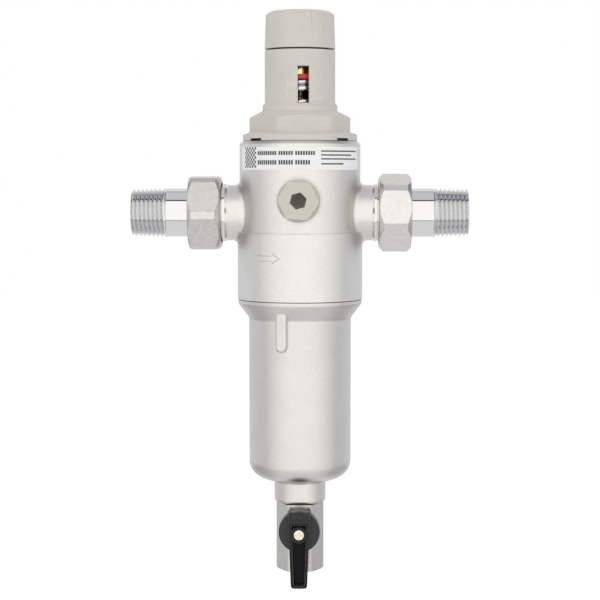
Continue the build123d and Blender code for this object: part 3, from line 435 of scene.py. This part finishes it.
def skin(name, grids, wrap_rows, wrap_columns):
    """Object whose faces join each point of a grid to the next in its row and in its column.

    A wrapped grid also joins its last row or column to its first. Points that fall together are
    merged, so a row drawn into one point or line closes an end."""
    points, faces, count = [], [], 0
    for grid in grids:
        rows, columns = grid.shape[:2]
        index = np.arange(rows * columns).reshape(rows, columns) + count
        if wrap_rows:
            index = np.vstack((index, index[:1]))
        if wrap_columns:
            index = np.hstack((index, index[:, :1]))
        corners = (index[:-1, :-1], index[:-1, 1:], index[1:, 1:], index[1:, :-1])
        points.append(grid.reshape(-1, 3))
        faces.append(np.stack(corners, axis=-1).reshape(-1, 4))
        count += rows * columns
    mesh = bpy.data.meshes.new(name)
    mesh.from_pydata(np.concatenate(points).tolist(), [], np.concatenate(faces).tolist())
    merged = bmesh.new()
    merged.from_mesh(mesh)
    bmesh.ops.remove_doubles(merged, verts=merged.verts, dist=1e-7)
    merged.to_mesh(mesh)
    merged.free()
    piece = bpy.data.objects.new(name, mesh)
    bpy.context.scene.collection.objects.link(piece)
    return piece


def smooth(piece, crease):
    """Shade a piece smoothly, except over edges sharper than the crease angle."""
    piece.data.shade_smooth()
    piece.data.set_sharp_from_angle(angle=math.radians(crease))


def on_barrel(angle, radius, height):
    """Points on a barrel about Z, at an angle from the front towards the right."""
    angle, radius, height = np.broadcast_arrays(angle, radius, height)
    return np.stack((radius * np.sin(angle), -radius * np.cos(angle), height), axis=-1)


def attach(piece, body, coat):
    """Give a new piece its finish and the body that carries it."""
    piece.data.materials.append(coat.material)
    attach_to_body(piece, body)


def arrow_grid():
    """Rows run along the arrow and columns round its section, which is a low block with sloping
    sides. The half height is even along the shaft, steps out to the head, and falls straight to
    nothing at the tip. Rows of no height close the tail."""
    shaft = np.linspace(arrow_tail, arrow_neck, shaft_rows)
    along = np.concatenate(([arrow_tail], shaft, np.linspace(arrow_neck, arrow_tip, head_rows)))
    half = np.concatenate(([0.0], np.full(shaft_rows, shaft_half), np.linspace(head_half, 0.0, head_rows)))
    side = np.array((-1, -1, 1, 1))
    slope = np.array((0.0, arrow_slope, arrow_slope, 0.0))
    rise = np.array((-arrow_root, arrow_proud, arrow_proud, -arrow_root))
    height = arrow_height + side * np.maximum(half[:, None] - slope, 0.0)
    return on_barrel(along[:, None], skirt_r + rise, height)


arrow = skin("flow_arrow", [arrow_grid()], wrap_rows=False, wrap_columns=True)
smooth(arrow, crease=25)
attach(arrow, "housing", blasted)

# Rating label: white film stuck round the barrel, with a generic print of plain bars and rules.
# Its ink lies on the film, a few hundredths of a millimetre thick.

label_white = (0.96, 0.95, 0.935)
label_r = 25.62 * mm
print_lift = 0.04 * mm
print_left = math.radians(-41.5)
print_rows = ((24.9 * mm, 1.6 * mm, math.radians(15.6)), (21.1 * mm, 1.8 * mm, math.radians(11.0)))
bar_width = math.radians(1.7)
bar_gap = math.radians(0.65)
word_bars = (9, 6, 8)
word_gap = math.radians(1.6)
square_left = math.radians(-61.2)
square_right = math.radians(-43.7)
square_low = 18.9 * mm
square_high = 27.4 * mm
square_cells = 9
rule_left = math.radians(21.0)
rule_right = math.radians(66.0)
rule_heights = (25.7 * mm, 24.1 * mm, 22.5 * mm, 20.5 * mm)
rule_shares = (1.0, 0.8, 1.0, 0.55)
rule_thickness = 0.55 * mm
patch_step = math.radians(1.5)
ink_dark = (0.05, 0.05, 0.055)
ink_light = (0.11, 0.11, 0.115)


def patch(left, right, low, high):
    """Thin block bent round the label: rows along its angle, columns round its section."""
    steps = 3 + int((right - left) / patch_step)
    angle = np.concatenate(([left], np.linspace(left, right, steps), [right]))
    open_height = np.concatenate(([0.0], np.ones(steps), [0.0]))[:, None]
    middle = (low + high) / 2
    height = middle + open_height * (np.array((low, low, high, high)) - middle)
    radius = label_r + np.array((-print_lift, print_lift, print_lift, -print_lift))
    return on_barrel(angle[:, None], radius, height)


film = finish("label_film", label_white, metal=0.0, roughness=0.38, edge=0.03 * mm)
roughen(film, grain(film, size=0.5 * mm, detail=2.0), smoothest=0.34, roughest=0.42)
dress(film, "rating_label")
patches = []
for middle, height, right in print_rows:
    edge = print_left
    bars = 0
    while edge + bar_width <= right:
        patches.append(patch(edge, edge + bar_width, middle - height / 2, middle + height / 2))
        bars += 1
        edge += bar_width + bar_gap
        if bars in np.cumsum(word_bars):
            edge += word_gap
cell_width = (square_right - square_left) / square_cells
cell_height = (square_high - square_low) / square_cells
for row in range(square_cells):
    for column in range(row % 2, square_cells, 2):
        left = square_left + column * cell_width
        low = square_low + row * cell_height
        patches.append(patch(left, left + cell_width, low, low + cell_height))
for height, share in zip(rule_heights, rule_shares):
    right = rule_left + share * (rule_right - rule_left)
    patches.append(patch(rule_left, right, height - rule_thickness / 2, height + rule_thickness / 2))
ink = finish("label_ink", ink_dark, metal=0.0, roughness=0.45, edge=0.01 * mm)
paint(ink, spread(ink, grain(ink, size=0.25 * mm, detail=1.0)), ink_dark, ink_light)
label_print = skin("label_print", patches, wrap_rows=False, wrap_columns=True)
attach(label_print, "housing", ink)

# Union nuts and drain valve body: turned from hexagon brass bar and nickel plated over the
# drawing marks, smoother than the castings. The nuts clamp the tailpieces to the necks, and the
# valve body screws into the bowl's foot.

# Painted shade: the inlet nut's tones are a darker copy of the outlet nut's, for the shaded left-hand nut.
inlet_nut_shaded_dark = (0.62, 0.58, 0.55)
inlet_nut_shaded_light = (0.68, 0.645, 0.615)
# Painted shade: the edge tones darken the rounded edges where the facets turn away.
inlet_nut_edge_shade = (0.22, 0.19, 0.16)
outlet_nut_dark = (0.68, 0.65, 0.615)
outlet_nut_light = (0.735, 0.71, 0.68)
outlet_nut_edge_shade = (0.25, 0.22, 0.19)
drain_dark = (0.50, 0.475, 0.435)
drain_light = (0.545, 0.52, 0.475)
drain_edge_shade = (0.42, 0.39, 0.36)
nut_sheen = 0.24
outlet_nut_sheen = 0.22
drain_sheen = 0.13
sheen_range = 0.1
flat_lean = 0.995


def edge_share(coat, lean_range=0.1):
    """1 on the rounded edges, where the rounded normal leans off the face's own, and 0 on faces."""
    geometry = coat.tree.nodes.new("ShaderNodeNewGeometry")
    lean = coat.tree.nodes.new("ShaderNodeVectorMath")
    lean.operation = "DOT_PRODUCT"
    coat.tree.links.new(geometry.outputs["True Normal"], lean.inputs[0])
    coat.tree.links.new(coat.rounded, lean.inputs[1])
    return spread(coat, lean.outputs["Value"], 1.0, 0.0, 1.0 - lean_range, flat_lean)


def hexagon_plate(name, dark, light, edge_shade, sheen):
    """Nickel plate over a drawn hexagon bar: fine drawing grain, blotches between two tones, and
    painted shade on the rounded edges, where the facets turn away. The sheen is the roughness of
    the smoothest grain."""
    coat = finish(name, dark, metal=1.0, roughness=sheen, edge=0.25 * mm)
    drawn = grain(coat, size=0.5 * mm, detail=2.0)
    blotches = grain(coat, size=2.5 * mm, detail=3.0)
    tone = two_tone(coat, spread(coat, blotches), dark, light)
    paint(coat, edge_share(coat), tone, edge_shade)
    roughen(coat, drawn, sheen, sheen + sheen_range)
    emboss(coat, drawn, height=0.02 * mm, strength=0.3)
    return coat


shaded_inlet_plate = hexagon_plate("shaded_inlet_plate", inlet_nut_shaded_dark, inlet_nut_shaded_light, inlet_nut_edge_shade, nut_sheen)
dress(shaded_inlet_plate, "inlet_union_nut")
outlet_plate = hexagon_plate(
    "outlet_plate", outlet_nut_dark, outlet_nut_light, outlet_nut_edge_shade, outlet_nut_sheen
)
dress(outlet_plate, "outlet_union_nut")
dress(hexagon_plate("drain_plate", drain_dark, drain_light, drain_edge_shade, drain_sheen), "drain_valve_body")

# Gauge plugs: brass with a hexagon head, screwed into the two gauge ports over their seals and
# coated matt, so that they look pale beige. The socket for the key is in shadow.

plug_dark = (0.625, 0.595, 0.52)
plug_light = (0.66, 0.63, 0.55)
socket_shadow = (0.33, 0.315, 0.265)
socket_r = 3.65 * mm
socket_mouth = 33.0 * mm
socket_shade = 1.5 * mm
port_axis_height = 5.4 * mm


def off_axis(coat, first, second):
    """Distance from an axis: the root of the sum of the squares of the two lengths across it."""
    squares = [step(coat, "MULTIPLY", length, length) for length in (first, second)]
    return step(coat, "SQRT", step(coat, "ADD", *squares))


plug = finish("plug_plate", plug_dark, metal=0.0, roughness=0.5, edge=0.25 * mm)
satin = grain(plug, size=0.4 * mm, detail=2.0)
across, depth, upwards = axes_of(plug)
off_port = off_axis(plug, across, step(plug, "SUBTRACT", upwards, port_axis_height))
socket_end = socket_mouth - socket_shade
sunk = spread(plug, step(plug, "ABSOLUTE", depth), 1.0, 0.0, socket_end, socket_mouth)
shaded = step(plug, "MULTIPLY", within(plug, off_port, socket_r), sunk)
paint(plug, shaded, two_tone(plug, spread(plug, satin), plug_dark, plug_light), socket_shadow)
roughen(plug, satin, smoothest=0.42, roughest=0.55)
dress(plug, "gauge_plug_front", "gauge_plug_rear")

# Tailpieces: turned brass tubes with bright nickel plating. A flange seals each against its
# gasket inside the union nut, and a tapered pipe thread, cut before plating, takes the pipe.

bright_tone = (0.73, 0.72, 0.70)
root_shade_tone = (0.53, 0.55, 0.60)
root_from = 0.75 * mm
tail_near = 42.4 * mm
tail_flange_r = 12.75 * mm
tail_flange_end = 45.2 * mm
tail_r = 10.2 * mm
tail_end = 71.0 * mm
tail_bore_r = 7.5 * mm
pipe_thread_start = 56.4 * mm
pipe_thread_r = 10.4 * mm
pipe_thread_pitch = 1.814 * mm
pipe_thread_depth = 1.16 * mm
pipe_thread_rows = 18
pipe_taper = 1 / 32
thread_shoulder = 0.2 * mm
run_out = 0.6
lead_in = 0.9 * mm
end_face_step = 0.3 * mm
end_margin = 0.05 * mm
bore_chamfer = 0.5 * mm
flank_slope = 1.16
crest_width = 0.08
round_steps = 128


def thread_share(along, turn, pitch):
    """How deep a V thread lies below its crest, 0 to 1: a zigzag with cut tips that moves one
    pitch along for each turn round."""
    zigzag = np.abs(2 * ((along / pitch - turn) % 1.0) - 1)
    return np.clip(flank_slope * zigzag - crest_width, 0.0, 1.0)


def tail_grid(side):
    """Rows follow the tailpiece's outline, out along the outside and back down the bore, and
    columns go round it. Along the thread the radius falls with the taper and with the thread's
    own depth, which fades in along the run-out, and the lead-in cuts its end."""
    along = np.arange(pipe_thread_start, tail_end - end_margin, pipe_thread_pitch / pipe_thread_rows)
    turn = np.arange(round_steps) / round_steps
    crest = pipe_thread_r - (along - pipe_thread_start) * pipe_taper
    fade = np.clip((along - pipe_thread_start) / pipe_thread_pitch / run_out, 0.0, 1.0)
    depth = pipe_thread_depth * fade[:, None] * thread_share(along[:, None], turn, pipe_thread_pitch)
    lead = pipe_thread_r - lead_in + (tail_end - along)
    threaded = np.minimum(crest[:, None] - depth, lead[:, None])
    before = (
        (tail_near, tail_bore_r),
        (tail_near, tail_flange_r),
        (tail_flange_end, tail_flange_r),
        (tail_flange_end, tail_r),
        (pipe_thread_start - thread_shoulder, tail_r),
    )
    after = (
        (tail_end, pipe_thread_r - lead_in - end_face_step),
        (tail_end, tail_bore_r + bore_chamfer),
        (tail_end - bore_chamfer, tail_bore_r),
    )
    first, last = np.array(before), np.array(after)
    along = np.concatenate((first[:, 0], along, last[:, 0]))[:, None]
    inner_rows = np.repeat(first[:, 1:], round_steps, axis=1)
    outer_rows = np.repeat(last[:, 1:], round_steps, axis=1)
    radius = np.concatenate((inner_rows, threaded, outer_rows))
    angle = 2 * math.pi * turn
    points = (side * (along + 0 * radius), side * radius * np.cos(angle), radius * np.sin(angle))
    return np.stack(points, axis=-1)


bright = finish("bright_nickel", bright_tone, metal=1.0, roughness=0.05, edge=0.08 * mm)
roughen(bright, grain(bright, size=4 * mm, detail=2.0), smoothest=0.035, roughest=0.07)
turning = grain(bright, size=0.3 * mm, detail=1.0, stretch=(6.0, 1.0, 1.0))
emboss(bright, turning, height=0.01 * mm, strength=0.05)
along, depth, upwards = axes_of(bright)
along = step(bright, "ABSOLUTE", along)
taper_fall = step(bright, "MULTIPLY", step(bright, "SUBTRACT", along, pipe_thread_start), pipe_taper)
crest_here = step(bright, "SUBTRACT", pipe_thread_r, taper_fall)
below_crest = step(bright, "SUBTRACT", crest_here, off_axis(bright, depth, upwards))
cut = spread(bright, along, 0.0, 1.0, pipe_thread_start - mask_blur, pipe_thread_start + mask_blur)
# Painted shade: the thread's roots are darker and bluer than its crests.
root_shade = spread(bright, below_crest, 0.0, 1.0, root_from, pipe_thread_depth)
paint(bright, step(bright, "MULTIPLY", root_shade, cut), bright_tone, root_shade_tone)
for side, name in ((-1, "inlet"), (1, "outlet")):
    tail = skin(f"{name}_threaded_tail", [tail_grid(side)], wrap_rows=True, wrap_columns=True)
    smooth(tail, crease=28)
    attach(tail, "housing", bright)
    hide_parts(f"{name}_tailpiece")

# Spring bonnet and knob: moulded in warm grey plastic with a fine matt texture. A scale is moulded
# beside the window, raised and a little paler than the rest: even numbers to the right, odd to the
# left. The notches under the bonnet's flange are in shadow.

moulding_dark = (0.66, 0.63, 0.565)
moulding_light = (0.69, 0.66, 0.595)
moulding_edge_shade = (0.46, 0.44, 0.39)
moulding_lean_range = 0.02
notch_shadow = (0.05, 0.048, 0.045)
notch_top = 31.15 * mm
notch_rim_r = 24.0 * mm
notch_rim_blur = 0.5 * mm
scale_dark = (0.76, 0.75, 0.71)
scale_light = (0.84, 0.83, 0.79)
bonnet_r = 14.85 * mm
scale_proud = 0.14 * mm
scale_root = 0.10 * mm
scale_step = 4.1 * mm
even_top = 59.9 * mm
even_marks = 4
even_ticks = (math.radians(21.6), math.radians(30.0))
even_digits = math.radians(36.2)
odd_top = 57.8 * mm
odd_marks = 3
odd_ticks = (math.radians(-13.0), math.radians(-4.6))
odd_digits = math.radians(-19.8)
tick_thickness = 0.34 * mm
tick_crown = 0.7
tick_steps = 5
digit_size = 2.7 * mm
digit_smoothness = 4


def tick(ends, height):
    """Short bar bent round the bonnet: rows along its angle, columns round its section, which
    narrows towards the crown. Rows of no height close its ends."""
    left, right = ends
    angle = np.concatenate(([left], np.linspace(left, right, tick_steps), [right]))
    open_height = np.concatenate(([0.0], np.ones(tick_steps), [0.0]))[:, None]
    levels = height + open_height * tick_thickness / 2 * np.array((-1, -tick_crown, tick_crown, 1))
    radius = bonnet_r + np.array((-scale_root, scale_proud, scale_proud, -scale_root))
    return on_barrel(angle[:, None], radius, levels)


def digit_piece(text, angle, height):
    """Raised numeral: flat letter shape made a mesh, then bent round the bonnet, so that its width
    becomes an angle and its thickness a radius."""
    letter = bpy.data.curves.new("numeral", "FONT")
    letter.body = text
    letter.size = digit_size
    letter.extrude = (scale_proud + scale_root) / 2
    letter.resolution_u = digit_smoothness
    letter.align_x = "CENTER"
    letter.align_y = "CENTER"
    drawn_letter = bpy.data.objects.new("numeral", letter)
    bpy.context.scene.collection.objects.link(drawn_letter)
    bpy.context.view_layer.update()
    evaluated = drawn_letter.evaluated_get(bpy.context.evaluated_depsgraph_get())
    mesh = bpy.data.meshes.new_from_object(evaluated)
    bpy.data.objects.remove(drawn_letter)
    flat = np.empty(len(mesh.vertices) * 3)
    mesh.vertices.foreach_get("co", flat)
    across, up, out = flat.reshape(-1, 3).T
    lift = (scale_proud - scale_root) / 2
    bent = on_barrel(angle + across / bonnet_r, bonnet_r + lift + out, height + up)
    mesh.vertices.foreach_set("co", bent.reshape(-1))
    mesh.update()
    return mesh


moulding = finish("grey_moulding", moulding_dark, metal=0.0, roughness=0.48, edge=0.10 * mm)
mottle = grain(moulding, size=6 * mm, detail=2.0)
tone = two_tone(moulding, spread(moulding, mottle), moulding_dark, moulding_light)
# Painted shade: the rounded edges and the knob's flutes are darker.
tone = two_tone(moulding, edge_share(moulding, moulding_lean_range), tone, moulding_edge_shade)
across, depth, upwards = axes_of(moulding)
off_centre = off_axis(moulding, across, depth)
inside_rim = spread(moulding, off_centre, 1.0, 0.0, notch_rim_r - notch_rim_blur, notch_rim_r)
notched = step(moulding, "MULTIPLY", within(moulding, upwards, notch_top), inside_rim)
paint(moulding, notched, tone, notch_shadow)
emboss(moulding, grain(moulding, size=0.35 * mm, detail=2.0), height=0.02 * mm, strength=0.25)
dress(moulding, "spring_bonnet", "adjusting_knob")
raised = finish("raised_scale", scale_dark, metal=0.0, roughness=0.42, edge=0.05 * mm)
paint(raised, spread(raised, grain(raised, size=0.5 * mm, detail=2.0)), scale_dark, scale_light)
even_heights = [even_top - scale_step * row for row in range(even_marks)]
odd_heights = [odd_top - scale_step * row for row in range(odd_marks)]
ticks = [tick(even_ticks, height) for height in even_heights]
ticks += [tick(odd_ticks, height) for height in odd_heights]
attach(skin("scale_ticks", ticks, wrap_rows=False, wrap_columns=True), "housing", raised)
numerals = bmesh.new()
for row, height in enumerate(even_heights):
    numerals.from_mesh(digit_piece(str(2 * row), even_digits, height))
for row, height in enumerate(odd_heights):
    numerals.from_mesh(digit_piece(str(2 * row + 1), odd_digits, height))
numeral_mesh = bpy.data.meshes.new("scale_numerals")
numerals.to_mesh(numeral_mesh)
numerals.free()
scale_numerals = bpy.data.objects.new("scale_numerals", numeral_mesh)
bpy.context.scene.collection.objects.link(scale_numerals)
attach(scale_numerals, "housing", raised)

# Adjusting screw: turned from brass bar, with a hexagon for the knob, a journal and collar that
# run in the bonnet's roof, and a long left-hand thread that carries the setting nut up and down.
# The nut is polished, and the regulator and the drain valve have more bare brass inside.

brass_warm = (0.88, 0.68, 0.35)
brass_dull = (0.80, 0.59, 0.28)
nut_brass = (0.88, 0.66, 0.30)
screw_tip = 44.95 * mm
screw_thread_r = 4.0 * mm
screw_pitch = 1.5 * mm
screw_depth = 0.55 * mm
screw_point = 0.6 * mm
screw_rows = 16
collar_low = 61.15 * mm
collar_high = 62.95 * mm
collar_r = 7.6 * mm
journal_r = 4.6 * mm
hexagon_low = 68.7 * mm
hexagon_high = 75.2 * mm
hexagon_flat = 3.5 * mm


def screw_grid():
    """Rows follow the screw's outline from its point to its head, and columns go round it. The
    thread's radius falls by its own depth. The head's radius is the distance from the axis to a
    hexagon's side: half its width over the cosine of the angle from the side's middle."""
    along = np.arange(screw_tip, collar_low, screw_pitch / screw_rows)
    turn = np.arange(round_steps) / round_steps
    angle = 2 * math.pi * turn
    depth = screw_depth * thread_share(along[:, None], -turn, screw_pitch)
    point = screw_thread_r - screw_point + (along - screw_tip)
    threaded = np.minimum(screw_thread_r - depth, point[:, None])
    six_sided = hexagon_flat / np.cos((angle + math.pi / 6) % (math.pi / 3) - math.pi / 6)
    shoulder_heights = (collar_low, collar_low, collar_high, collar_high, hexagon_low)
    shoulder_radii = (screw_thread_r, collar_r, collar_r, journal_r, journal_r)
    even = np.ones(round_steps)
    radius = [0 * even, *threaded]
    radius += [shoulder_r * even for shoulder_r in shoulder_radii]
    radius += [six_sided, six_sided, 0 * even]
    head_heights = (hexagon_low, hexagon_high, hexagon_high)
    height = np.concatenate(([screw_tip], along, shoulder_heights, head_heights))
    radius = np.array(radius)
    height = np.repeat(height[:, None], round_steps, axis=1)
    return np.stack((radius * np.cos(angle), radius * np.sin(angle), height), axis=-1)


brass = finish("bare_brass", brass_warm, metal=1.0, roughness=0.22, edge=0.15 * mm)
tarnish = grain(brass, size=2 * mm, detail=3.0)
roughen(brass, tarnish, smoothest=0.15, roughest=0.30)
paint(brass, spread(brass, tarnish), brass_warm, brass_dull)
polished = finish("polished_brass", nut_brass, metal=1.0, roughness=0.08, edge=0.1 * mm)
roughen(polished, grain(polished, size=1 * mm, detail=2.0), smoothest=0.05, roughest=0.12)
dress(polished, "setting_nut")
dress(brass, "diaphragm_washer", "regulator_spindle", "seat_retainer", "valve_stem", "gland_nut")
screw = skin("threaded_screw", [screw_grid()], wrap_rows=False, wrap_columns=True)
smooth(screw, crease=28)
attach(screw, "knob", brass)
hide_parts("adjusting_screw")

# Setting indicator: a ring moulded in red plastic that holds the brass nut. Its key slides in the
# bonnet's slot, so it can't turn, and it is read against the scale.

indicator_red = (0.62, 0.02, 0.03)
red = finish("red_moulding", indicator_red, metal=0.0, roughness=0.30, edge=0.1 * mm)
roughen(red, grain(red, size=0.4 * mm, detail=2.0), smoothest=0.25, roughest=0.35)
dress(red, "indicator_ring")

# Backwash spring: wound from round spring steel wire, with the last turn at each end closed
# against the next and ground flat. It lifts the filter insert after a backwash.

steel_tone = (0.66, 0.66, 0.67)
wire_sides = 16
turn_steps = 40
opening_turn = 0.25
backwash_low = -112.2 * mm
backwash_high = -102.78 * mm
backwash_mean_r = 8.2 * mm
backwash_wire = 1.3 * mm
backwash_turns = 3.2
backwash_closed = 0.8
backwash_ground = 0.3 * mm
backwash_start = math.radians(0)


def wire_grid(low, high, mean_r, wire, turns, closed, ground, start):
    """Rows follow the wire and columns go round it, in the plane of the spring's axis.

    The centre line turns evenly, and its rise per turn is one wire over the closed ends and an
    even, larger one between them, so that the ground ends reach the two heights. Heights past an
    end are cut level, and a row drawn in to the centre line closes each end of the wire."""
    turn = np.linspace(0.0, turns, int(turns * turn_steps) + 1)
    from_end = np.minimum(turn, turns - turn)
    open_share = np.clip((from_end - closed) / opening_turn, 0.0, 1.0)
    open_share = open_share**2 * (3 - 2 * open_share)
    first, last = low + wire / 2 - ground, high - wire / 2 + ground
    step_turn = turn[1] - turn[0]
    middle_share = (open_share[1:] + open_share[:-1]) / 2
    spare = last - first - wire * turns
    rise = wire * step_turn + spare * middle_share / middle_share.sum()
    centre = first + np.concatenate(([0.0], np.cumsum(rise)))
    angle = start + 2 * math.pi * turn
    thick = np.full(len(turn), wire / 2)
    angle = np.concatenate((angle[:1], angle, angle[-1:]))[:, None]
    centre = np.concatenate((centre[:1], centre, centre[-1:]))[:, None]
    thick = np.concatenate(([0.0], thick, [0.0]))[:, None]
    around = -2 * math.pi * np.arange(wire_sides) / wire_sides
    radius = mean_r + thick * np.cos(around)
    height = np.clip(centre + thick * np.sin(around), low, high)
    return np.stack((radius * np.cos(angle), radius * np.sin(angle), height), axis=-1)


steel = finish("bright_steel", steel_tone, metal=1.0, roughness=0.12, edge=0.1 * mm)
roughen(steel, grain(steel, size=0.4 * mm, detail=2.0), smoothest=0.08, roughest=0.16)
dress(steel, "thrust_washer", "spring_plate", "spindle_nut", "valve_ball")


def wind(name, node, grid):
    """Make one length of spring wire, shaded smoothly, and hide the CAD node it replaces."""
    length = skin(name, [grid], wrap_rows=False, wrap_columns=True)
    smooth(length, crease=40)
    attach(length, "housing", steel)
    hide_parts(node)
    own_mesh(length)


backwash_grid = wire_grid(
    backwash_low,
    backwash_high,
    backwash_mean_r,
    backwash_wire,
    backwash_turns,
    backwash_closed,
    backwash_ground,
    backwash_start,
)
wind("backwash_wire", "backwash_spring", backwash_grid)

# Adjusting spring: wound from thicker steel wire in the same way. The screw's nut presses it from
# above and the diaphragm lifts its foot, so its wire is laid in two lengths that meet where
# neither end moves it.

adjusting_low = 24.7 * mm
adjusting_high = 55.85 * mm
adjusting_mean_r = 9.3 * mm
adjusting_wire = 2.8 * mm
adjusting_turns = 6.17
adjusting_closed = 1.05
adjusting_ground = 0.6 * mm
adjusting_start = math.radians(245)
foot_turns = 2
adjusting_grid = wire_grid(
    adjusting_low,
    adjusting_high,
    adjusting_mean_r,
    adjusting_wire,
    adjusting_turns,
    adjusting_closed,
    adjusting_ground,
    adjusting_start,
)
joint_row = foot_turns * turn_steps
joint_end = np.broadcast_to(adjusting_grid[joint_row].mean(0), adjusting_grid[:1].shape)
foot_length = np.concatenate((adjusting_grid[: joint_row + 1], joint_end))
head_length = np.concatenate((joint_end, adjusting_grid[joint_row:]))
wind("adjusting_wire_foot", "adjusting_spring", foot_length)
wind("adjusting_wire", "adjusting_spring", head_length)

# Screens: stainless wire cloth, woven square and welded into tubes inside the plastic cage. The
# two waves cross as the wires do, and the darker places between them are painted shade, the
# shade seen through the mesh openings.

cloth_pitch = 0.6 * mm
waves_per_length = 0.314
opening_shade = (0.08, 0.08, 0.085)
cloth_wire = (0.60, 0.60, 0.61)
cloth = finish("wire_cloth", cloth_wire, metal=1.0, roughness=0.35, edge=0.05 * mm)
weave = []
for turn in ((0, 0, 0), (0, math.pi / 2, 0)):
    mapping = cloth.tree.nodes.new("ShaderNodeMapping")
    mapping.inputs["Rotation"].default_value = turn
    wave = cloth.tree.nodes.new("ShaderNodeTexWave")
    wave.bands_direction = "Z"
    wave.inputs["Scale"].default_value = waves_per_length / cloth_pitch
    cloth.tree.links.new(cloth.place, mapping.inputs[0])
    cloth.tree.links.new(mapping.outputs[0], wave.inputs["Vector"])
    weave.append(wave.outputs["Fac"])
crossing = step(cloth, "MAXIMUM", *weave)
# Painted shade: the mesh openings are dark.
paint(cloth, spread(cloth, crossing), opening_shade, cloth_wire)
emboss(cloth, crossing, height=0.1 * mm, strength=0.8)
dress(cloth, "main_screen", "upper_screen")

# Drain lever: moulded in black plastic, with a matt channel down its front and a duller rim.
# Its cross-slotted steel screw is zinc plated and passivated, so it looks pale beige.

black_face = (0.013, 0.013, 0.014)
black_edge_highlight = (0.20, 0.198, 0.195)
arm_front = 22.2 * mm
arm_bend_height = -140.0 * mm
arm_lean = 2.4 / 17.0
channel_top = -129.5 * mm
channel_half = 4.35 * mm
channel_shallow = 0.3 * mm
channel_deep = 0.9 * mm
ramp_foot = -128.5 * mm
rim_from = 15.2 * mm
full_gloss = 0.5
rim_dulling = 0.3
channel_dulling = 0.15
black = finish("black_moulding", black_face, metal=0.0, roughness=0.30, edge=0.18 * mm)
# Painted highlight: the rounded edges are a lighter grey than the black face.
paint(black, edge_share(black), black_face, black_edge_highlight)
roughen(black, grain(black, size=0.5 * mm, detail=2.0), smoothest=0.24, roughest=0.38)
across, depth, upwards = axes_of(black)
below_bend = step(black, "MAXIMUM", step(black, "SUBTRACT", arm_bend_height, upwards))
front_here = step(black, "SUBTRACT", arm_front, step(black, "MULTIPLY", below_bend, arm_lean))
behind_front = step(black, "ADD", front_here, depth)
sunk = spread(black, behind_front, 0.0, 1.0, channel_shallow, channel_deep)
narrow = within(black, step(black, "ABSOLUTE", across), channel_half)
channel = step(black, "MULTIPLY", sunk, step(black, "MULTIPLY", within(black, upwards, channel_top), narrow))
rim = within(black, depth, -rim_from - mask_blur)
rim = step(black, "MULTIPLY", rim, within(black, upwards, ramp_foot))
gloss = step(black, "SUBTRACT", full_gloss, step(black, "MULTIPLY", rim, rim_dulling))
gloss = step(black, "SUBTRACT", gloss, step(black, "MULTIPLY", channel, channel_dulling))
black.tree.links.new(gloss, black.shader["Specular IOR Level"])
dress(black, "drain_lever")
screw_light = (0.84, 0.77, 0.67)
screw_dark = (0.72, 0.64, 0.53)
screw_edge_shade = (0.18, 0.14, 0.10)
passivated = finish("screw_plate", screw_light, metal=1.0, roughness=0.25, edge=0.12 * mm)
blotches = grain(passivated, size=0.6 * mm, detail=2.0)
tone = two_tone(passivated, spread(passivated, blotches), screw_light, screw_dark)
# Painted shade: the screw's rounded edges are dark.
paint(passivated, edge_share(passivated), tone, screw_edge_shade)
dress(passivated, "lever_screw")

# Seals and inner mouldings: the seals and the diaphragm are black rubber, clamped or lying in
# their grooves. The cartridge, the filter's frame and the ball seats are plain white plastic.

rubber = finish("seal_rubber", (0.03, 0.03, 0.03), metal=0.0, roughness=0.6, edge=0.1 * mm)
roughen(rubber, grain(rubber, size=0.6 * mm, detail=2.0), smoothest=0.5, roughest=0.7)
dress(rubber, "bowl_seal", "plug_seal_front", "plug_seal_rear", "inlet_gasket", "outlet_gasket")
dress(rubber, "diaphragm", "valve_disc", "cartridge_seal", "drain_seal")
white = finish("white_moulding", (0.78, 0.78, 0.75), metal=0.0, roughness=0.45, edge=0.1 * mm)
roughen(white, grain(white, size=0.4 * mm, detail=2.0), smoothest=0.4, roughest=0.5)
dress(white, "slip_ring", "valve_cartridge", "cartridge_guide", "filter_head", "filter_cage")
dress(white, "filter_foot", "backwash_rotor", "ball_seat_upper", "ball_seat_lower", "stem_packing")
